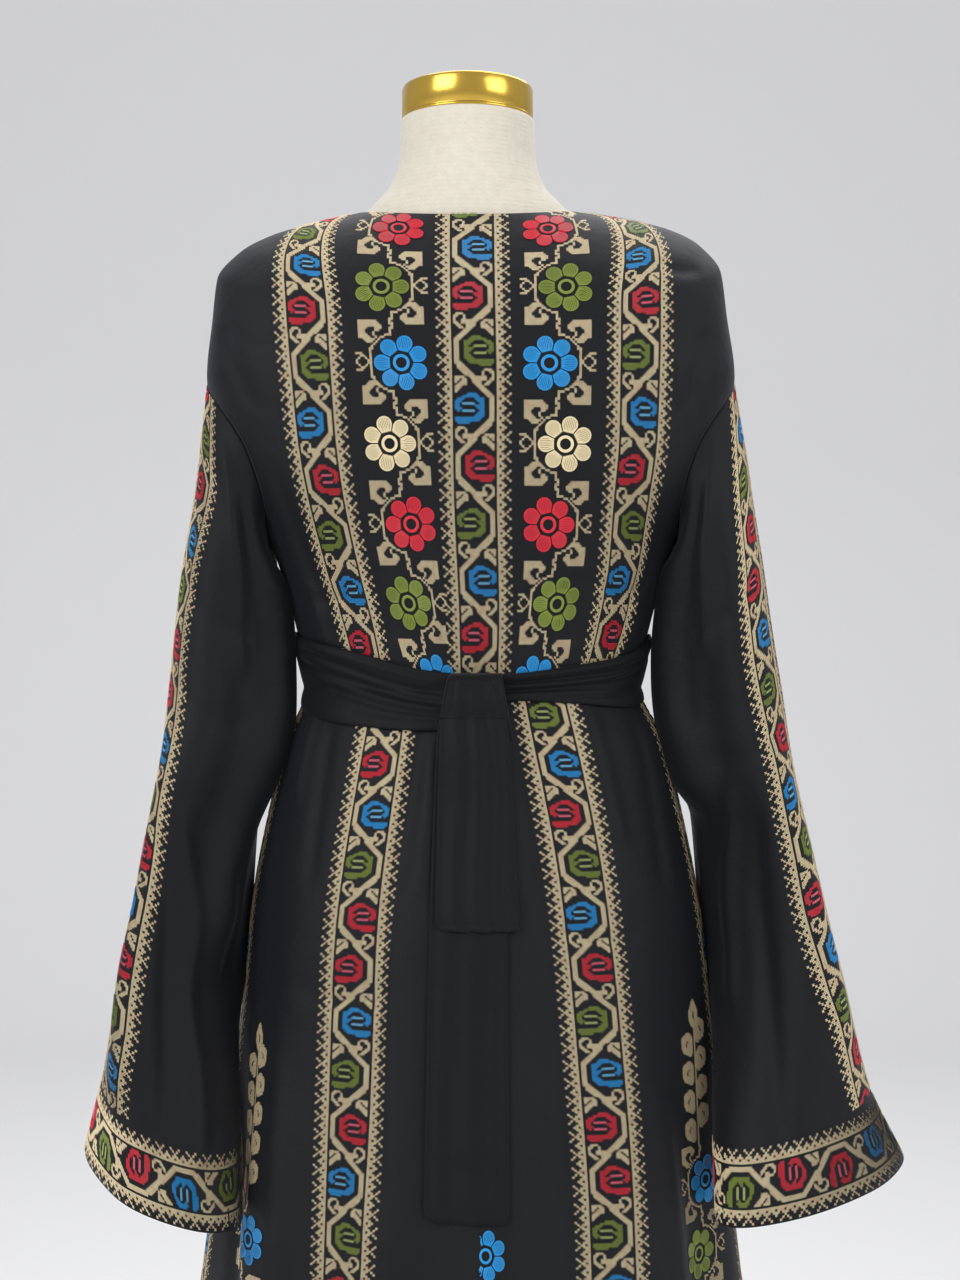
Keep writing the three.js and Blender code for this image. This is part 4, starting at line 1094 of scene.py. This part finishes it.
# Sews one flower: its shape is laid out on the cloth and lifted along the cloth's own normals.
def sewFlower(region, cloth, line, column, row, colour, side):
    squash = line["pitch"] / stitch["wide"]
    shape, faces, kinds = flowerShape(math.sqrt(squash))
    if side < 0:
        shape, faces = shape * [-1, 1, 1], faces[:, ::-1]
    across = (column - (line["columns"] - 1) / 2) * stitch["wide"] + shape[:, 0]
    down = row * line["pitch"] + shape[:, 1] * math.sqrt(squash)
    here, inside = layOut(cloth, line, across, down)
    right, insideRight = layOut(cloth, line, across + stitch["step"], down)
    below, insideBelow = layOut(cloth, line, across, down + stitch["step"])
    good = inside & insideRight & insideBelow & (across > line.get("shown", -99))
    outward = cloth["sign"] * np.cross(right - here, below - here)
    outward /= np.maximum(np.linalg.norm(outward, axis=1, keepdims=True), 1e-9)
    vertices = here + outward * (shape[:, 2:] + 0.05)
    whole = good[faces].all(axis=1)
    if whole.any():
        used, numbers = np.unique(faces[whole], return_inverse=True)
        quads = numbers.reshape(-1, 4)
        if cloth["sign"] < 0:
            quads = quads[:, ::-1]
        keep(region, colour, vertices[used], quads, kinds[whole])


# A band: motif after motif down a line, each the mirror image of the one before.
def sewBand(region, cloth, line):
    line = dict(line, columns=bandColumns)
    for k in range(line["count"]):
        stitches = bandMotifs[(k + line["turn"]) % 2] + [0, line["first"] + motifRows * k, 0]
        sew(region, cloth, line, stitches, colourOf(line, k), line["pitch"])


# A column of flowers: the flower is at the left with the vine at its right, then the other way round. Where it has
# pairs of leaves, a branch of them stands over it.
def sewFlowers(region, cloth, line):
    line = dict(line, columns=blockColumns)
    if "pairs" in line:
        sew(region, cloth, line, branchOf(line["pairs"]), "cream", line["pitch"])
    for k in range(line["count"]):
        isTurned = (k + line["turn"]) % 2 == 1
        row = line["first"] + blockRows * k
        stitches = mirrored(blockStitches, blockColumns) if isTurned else blockStitches
        colour = colourOf(line, k)
        sew(region, cloth, line, stitches + [0, row, 0], colour, line["pitch"])
        sewFlower(region, cloth, line, 20 if isTurned else 13, row, colour, -1 if isTurned else 1)


# ---- embroidery: where it is sewn ----

# Each line starts at the height "from" with its row "first". "centre" lists height, place across and the width that
# "wide" shrinks to there. "colours" are first letters, motif after motif. What a cloth's lines share is in "all".
bodiceBands = {
    "all": {"from": 1424, "wide": 56, "pitch": 1.87, "count": 11, "first": 0},
    "back": [
        {"centre": [(1424, -140, 56), (1366, -127, 56), (1281, -122, 53), (1230, -118, 51), (1179, -111, 49),
                    (1126, -100, 47), (1074, -86, 42), (1028, -76, 38)], "colours": "rgb", "turn": 1, "first": 4},
        {"centre": [(1424, 4, 59), (1279, 6, 58), (1178, 7, 56), (1075, 10, 52), (1028, 10, 48)],
         "colours": "gbr", "turn": 0, "first": -16},
        {"centre": [(1424, 150, 56), (1365, 138, 55), (1280, 136, 53), (1228, 135, 52), (1178, 131, 50),
                    (1126, 128, 48), (1074, 118, 42), (1028, 104, 36)], "colours": "rgb", "turn": 0, "first": 4},
    ],
    "front": [
        {"centre": [(1424, -150, 56), (1330, -130, 55), (1228, -128, 52), (1126, -112, 48), (1028, -90, 38)],
         "colours": "gbr", "turn": 0},
        {"centre": [(1424, 0, 58), (1178, 0, 56), (1028, 0, 50)], "colours": "brg", "turn": 1, "count": 9},
        {"centre": [(1424, 152, 56), (1330, 136, 55), (1228, 132, 52), (1126, 118, 48), (1028, 96, 38)],
         "colours": "gbr", "turn": 1},
    ],
}
bodiceFlowers = {
    "all": {"from": 1424, "wide": 62, "pitch": 1.85, "colours": "rgbc", "count": 7, "first": 10},
    "back": [
        {"centre": [(1424, -62, 62), (1366, -60, 62), (1282, -57, 60), (1155, -49, 56), (1094, -40, 50),
                    (1028, -26, 40)], "turn": 1, "first": 13},
        {"centre": [(1424, 72, 62), (1276, 71, 62), (1152, 70, 58), (1028, 58, 46)], "turn": 0, "first": 16},
    ],
    "front": [
        {"centre": [(1424, -74, 62), (1276, -66, 60), (1152, -62, 54), (1028, -48, 40)], "turn": 1},
        {"centre": [(1424, 74, 62), (1276, 68, 60), (1152, 62, 54), (1028, 50, 40)], "turn": 0},
    ],
}
# Lower down, the rows of stitches lie closer, as in the photograph.
skirtBands = {
    "all": {"from": 1026, "wide": 56, "pitch": 1.66, "count": 26, "first": 0},
    "back": [
        {"centre": [(1028, -172, 44), (863, -233, 54), (698, -260, 56), (575, -287, 56), (368, -316, 56),
                    (38, -356, 56)], "colours": "grb", "turn": 0},
        {"centre": [(1028, -60, 46), (998, -65, 50), (816, -89, 58), (695, -93, 59), (588, -97, 57), (300, -105, 56),
                    (38, -112, 56)], "colours": "grbgrrbgrbgrb", "turn": 1},
        {"centre": [(1028, 61, 52), (1019, 63, 56), (876, 91, 60), (753, 104, 60), (633, 113, 58), (300, 122, 56),
                    (38, 126, 56)], "colours": "gbrgbrgbrrgbr", "turn": 0},
        {"centre": [(1028, 180, 44), (863, 241, 54), (698, 268, 56), (575, 298, 56), (368, 326, 56), (38, 362, 56)],
         "colours": "grb", "turn": 1},
    ],
    "front": [
        {"centre": [(1028, -104, 44), (863, -140, 54), (575, -184, 56), (38, -216, 56)], "colours": "rbg", "turn": 0},
        {"centre": [(1028, 0, 50), (38, 0, 56)], "colours": "brg", "turn": 1},
        {"centre": [(1028, 108, 44), (863, 146, 54), (575, 190, 56), (38, 222, 56)], "colours": "gbr", "turn": 1},
    ],
}
# "shown" leaves out what lies to the left of it, counted in millimetres from the line's middle.
skirtFlowers = {
    "all": {"wide": 62, "pitch": 1.58, "colours": "bgrc", "count": 12, "first": 89, "pairs": 4},
    "back": [
        {"from": 740, "centre": [(745, -188, 62), (575, -192, 62), (300, -206, 62), (38, -228, 62)], "turn": 1,
         "pairs": 5},
        {"from": 748, "centre": [(760, 4, 44), (610, 10, 46), (38, 12, 56)], "turn": 1, "shown": 0},
        {"from": 779, "centre": [(779, 206, 62), (635, 214, 62), (300, 226, 62), (38, 240, 62)], "turn": 1},
    ],
    "front": [
        {"from": 770, "centre": [(770, -248, 62), (575, -272, 62), (38, -312, 62)], "turn": 0},
        {"from": 750, "centre": [(750, -84, 62), (575, -92, 62), (38, -108, 62)], "turn": 1},
        {"from": 750, "centre": [(750, 84, 62), (575, 94, 62), (38, 112, 62)], "turn": 0},
        {"from": 770, "centre": [(770, 252, 62), (575, 278, 62), (38, 318, 62)], "turn": 1},
    ],
}
for panel, bands, flowers, backCloth, frontCloth in (
        ("bodice", bodiceBands, bodiceFlowers, bodiceBackCloth, bodiceFrontCloth),
        ("skirt", skirtBands, skirtFlowers, skirtBackCloth, skirtFrontCloth)):
    for face, cloth in (("back", backCloth), ("front", frontCloth)):
        for band in bands[face]:
            sewBand(panel + face.capitalize(), cloth, {**bands["all"], **band})
        for column in flowers[face]:
            sewFlowers(panel + face.capitalize(), cloth, {**flowers["all"], **column})

# On a sleeve a band runs down its outer side, and another one round the cuff, in whole motifs.
sleeveBands = {
    "all": {"from": 1212, "wide": 56, "pitch": 1.76, "count": 17, "overHem": 61},
    "left": {"centre": [(1215, 46, 54), (1181, 60, 54), (1165, 67, 54), (1106, 60, 54), (1040, 57, 54), (967, 67, 54),
                        (868, 80, 54), (777, 78, 54), (729, 74, 54), (690, 78, 54)],
             "colours": "rgrbgrrbgrbrgbr", "turn": 0, "first": -14},
    "right": {"centre": [(1215, 38, 54), (1146, 63, 54), (1064, 73, 54), (978, 75, 54), (910, 81, 54), (866, 83, 54),
                         (802, 75, 54), (762, 65, 54), (690, 52, 54)],
              "colours": "rbgrrbgrbgrbgrr", "turn": 1, "first": -16},
    "cuff": {"from": 0, "wide": 56, "up": 29.5, "motifs": 10, "count": 11},
    "leftCuff": {"colours": "grbgrbrgrb", "turn": 1, "first": -10},
    "rightCuff": {"colours": "grbrgbgbrr", "turn": 0, "first": -21},
}


# The cuff as a cloth of its own, turned a quarter: its rows run along the sleeve and its columns count up from the hem.
def cuffCloth(cloth):
    points = cloth["points"][::-1].transpose(1, 0, 2)[:, :28]
    return newCloth(points, -np.arange(points.shape[0], dtype=float), 0, cloth["sign"])


for side, cloth in (("left", sleeveLeftCloth), ("right", sleeveRightCloth)):
    region = "sleeve" + side.capitalize()
    cuff = cuffCloth(cloth)
    rows = np.arange(len(cuff["heights"]), dtype=float)
    around = {**sleeveBands["cuff"], **sleeveBands[side + "Cuff"]}
    up = around["up"]
    middle, _ = placesOn(cuff, rows, np.full(len(rows), up))
    girth = np.linalg.norm(np.diff(middle, axis=0), axis=-1).sum()
    around.update(centre=[(0, up, 56), (-len(rows), up, 56)], pitch=girth / (around["motifs"] * motifRows))
    sewBand(region, cuff, around)
    strip = {**sleeveBands["all"], **sleeveBands[side]}
    sewBand(region, cloth, dict(strip, to=cloth["heights"][-1] + strip["overHem"]))

embroidery = {}
for (region, thread), parts in sewn.items():
    offsets = np.cumsum([0] + [len(part[0]) for part in parts[:-1]])
    vertices = np.concatenate([part[0] for part in parts])
    faces = np.concatenate([part[1] + offset for part, offset in zip(parts, offsets)])
    kinds = np.concatenate([part[2] for part in parts])
    piece = newPiece(region + thread.capitalize() + "Stitches", vertices, faces, threads[thread], kinds)
    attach(piece, "root")
    embroidery.setdefault(region, []).append(piece)
    print(piece.name, 2 * len(faces), "triangles")
print("the embroidery is sewn")

# ---- the dress form ----

formLook = {
    "names": "side half back backZ front frontZ square",
    "rows": [
        (1501, 56, 56, 1501, 56, 1501, 2), (1470, 57, 57, 1469, 57, 1467, 2), (1446, 65, 61, 1442, 60, 1432, 2),
        (1431, 79, 63, 1421, 64, 1388, 2), (1421, 90.5, 64.5, 1405, 71.5, 1350, 2),
        (1413, 126.5, 73, 1391, 79, 1335, 2.2), (1403, 159, 84, 1373, 87.5, 1323, 2.5),
        (1387, 182, 93, 1353, 97, 1312, 2.7), (1364, 193, 100, 1331, 103, 1300, 2.8),
        (1329, 195, 104, 1306, 108, 1288, 2.8), (1275, 184, 107, 1275, 113, 1272, 2.6),
        (1215, 165, 105, 1215, 120, 1215, 2.4),
        (1148, 150, 98, 1148, 109, 1148, 2.3), (1028, 124, 85, 1028, 88, 1028, 2.2), (950, 145, 101, 950, 96, 950, 2.2),
        (870, 162, 114, 870, 101, 870, 2.2), (815, 160, 110, 815, 98, 815, 2.2), (788, 148, 98, 788, 88, 788, 2.2),
        (778, 128, 80, 778, 72, 778, 2.2),
    ],
    "seams": (-0.46, 0.0, 0.46),
}


# A tube round an axis, closed at both ends by a middle point each. Its columns are even in number.
def closedTube(name, grid, ends, material, flip=False):
    rows, columns = grid.shape[:2]
    j = np.arange(0, columns, 2)
    rim = np.stack([j, (j + 1) % columns, (j + 2) % columns][::1 if flip else -1], 1)
    middle = np.full((len(j), 1), rows * columns)
    faces = [gridFaces(rows, columns, closed=True, flip=flip), np.hstack([middle, rim]),
             np.hstack([middle + 1, (rows - 1) * columns + rim[:, ::-1]])]
    return newPiece(name, np.concatenate([grid.reshape(-1, 3), ends]), np.concatenate(faces), [material])


# The torso: sections of the same kind as the bodice's, with a fine seam down the middle and over each side panel.
def formPiece():
    form = curves(formLook)
    side = np.interp(np.linspace(0, 1, 110), np.linspace(0, 1, 9), [1501, 1470, 1440, 1421, 1400, 1340, 1148, 900, 778])
    t = np.linspace(0, 1, 113)[:-1]
    face = np.where(t < 0.5, -1, 1)[None, :]
    share = np.where(t < 0.5, 4 * t - 1, 3 - 4 * t)[None, :] + 0 * side[:, None]
    half, square = form["half"](side), form["square"](side)
    xBack, deepBack, _, _ = halves(half, half, form["back"](side), square, share)
    xFront, deepFront, _, _ = halves(half, half, form["front"](side), square, share)
    depth = np.where(face < 0, form["back"](side)[:, None], form["front"](side)[:, None])
    deep = np.where(face < 0, deepBack, deepFront)
    middleZ = np.where(face < 0, form["backZ"](side)[:, None], form["frontZ"](side)[:, None])
    x = np.where(face < 0, xBack, xFront)
    z = side[:, None] + (middleZ - side[:, None]) * deep ** 1.4
    seam = sum(np.exp(-((share - place) / 0.012) ** 2) for place in formLook["seams"])
    inset = 1 - 0.006 * seam
    grid = np.stack([x * inset, face * depth * deep * inset, z], axis=-1)
    ends = np.stack([grid[0].mean(0), grid[-1].mean(0)])
    return standsFor(closedTube("formTorso", grid, ends, linen, flip=True))


# A turned piece: a profile of radius and height, first and last on the axis, carried round the Z axis.
def turnedPiece(name, profile, columns=96):
    profile = np.array(profile, float)
    angle = 2 * np.pi * np.arange(columns) / columns
    body = profile[1:-1]
    grid = np.stack([body[:, :1] * np.cos(angle), body[:, :1] * np.sin(angle), body[:, 1:] + 0 * angle], axis=-1)
    ends = np.array([[0, 0, profile[0, 1]], [0, 0, profile[-1, 1]]])
    return standsFor(closedTube(name, grid, ends, gold))


metal = {
    "cap": [(0, 1501.3), (54.2, 1501.3), (55, 1502), (55, 1503.4), (54.3, 1504), (54.3, 1504.8), (55, 1505.4),
            (55, 1526.4), (54.3, 1528.3), (52.4, 1529.1), (30, 1529.3), (0, 1529.3)],
    "pole": [(0, 12.3), (12, 12.3), (14, 13), (14, 200), (14, 500), (14, 776), (12, 777.7), (0, 777.7)],
    "base": [(0, 0), (183, 0), (184.6, 0.6), (185, 2), (185, 9), (184.2, 10.9), (182.5, 11.8), (180, 12), (90, 12),
             (22, 12), (0, 12)],
}
formTorso = formPiece()
formCap = turnedPiece("formCap", metal["cap"])
formPole = turnedPiece("formPole", metal["pole"], 48)
formBase = turnedPiece("formBase", metal["base"], 128)
print("the dress form is made")

print("the scene is built")
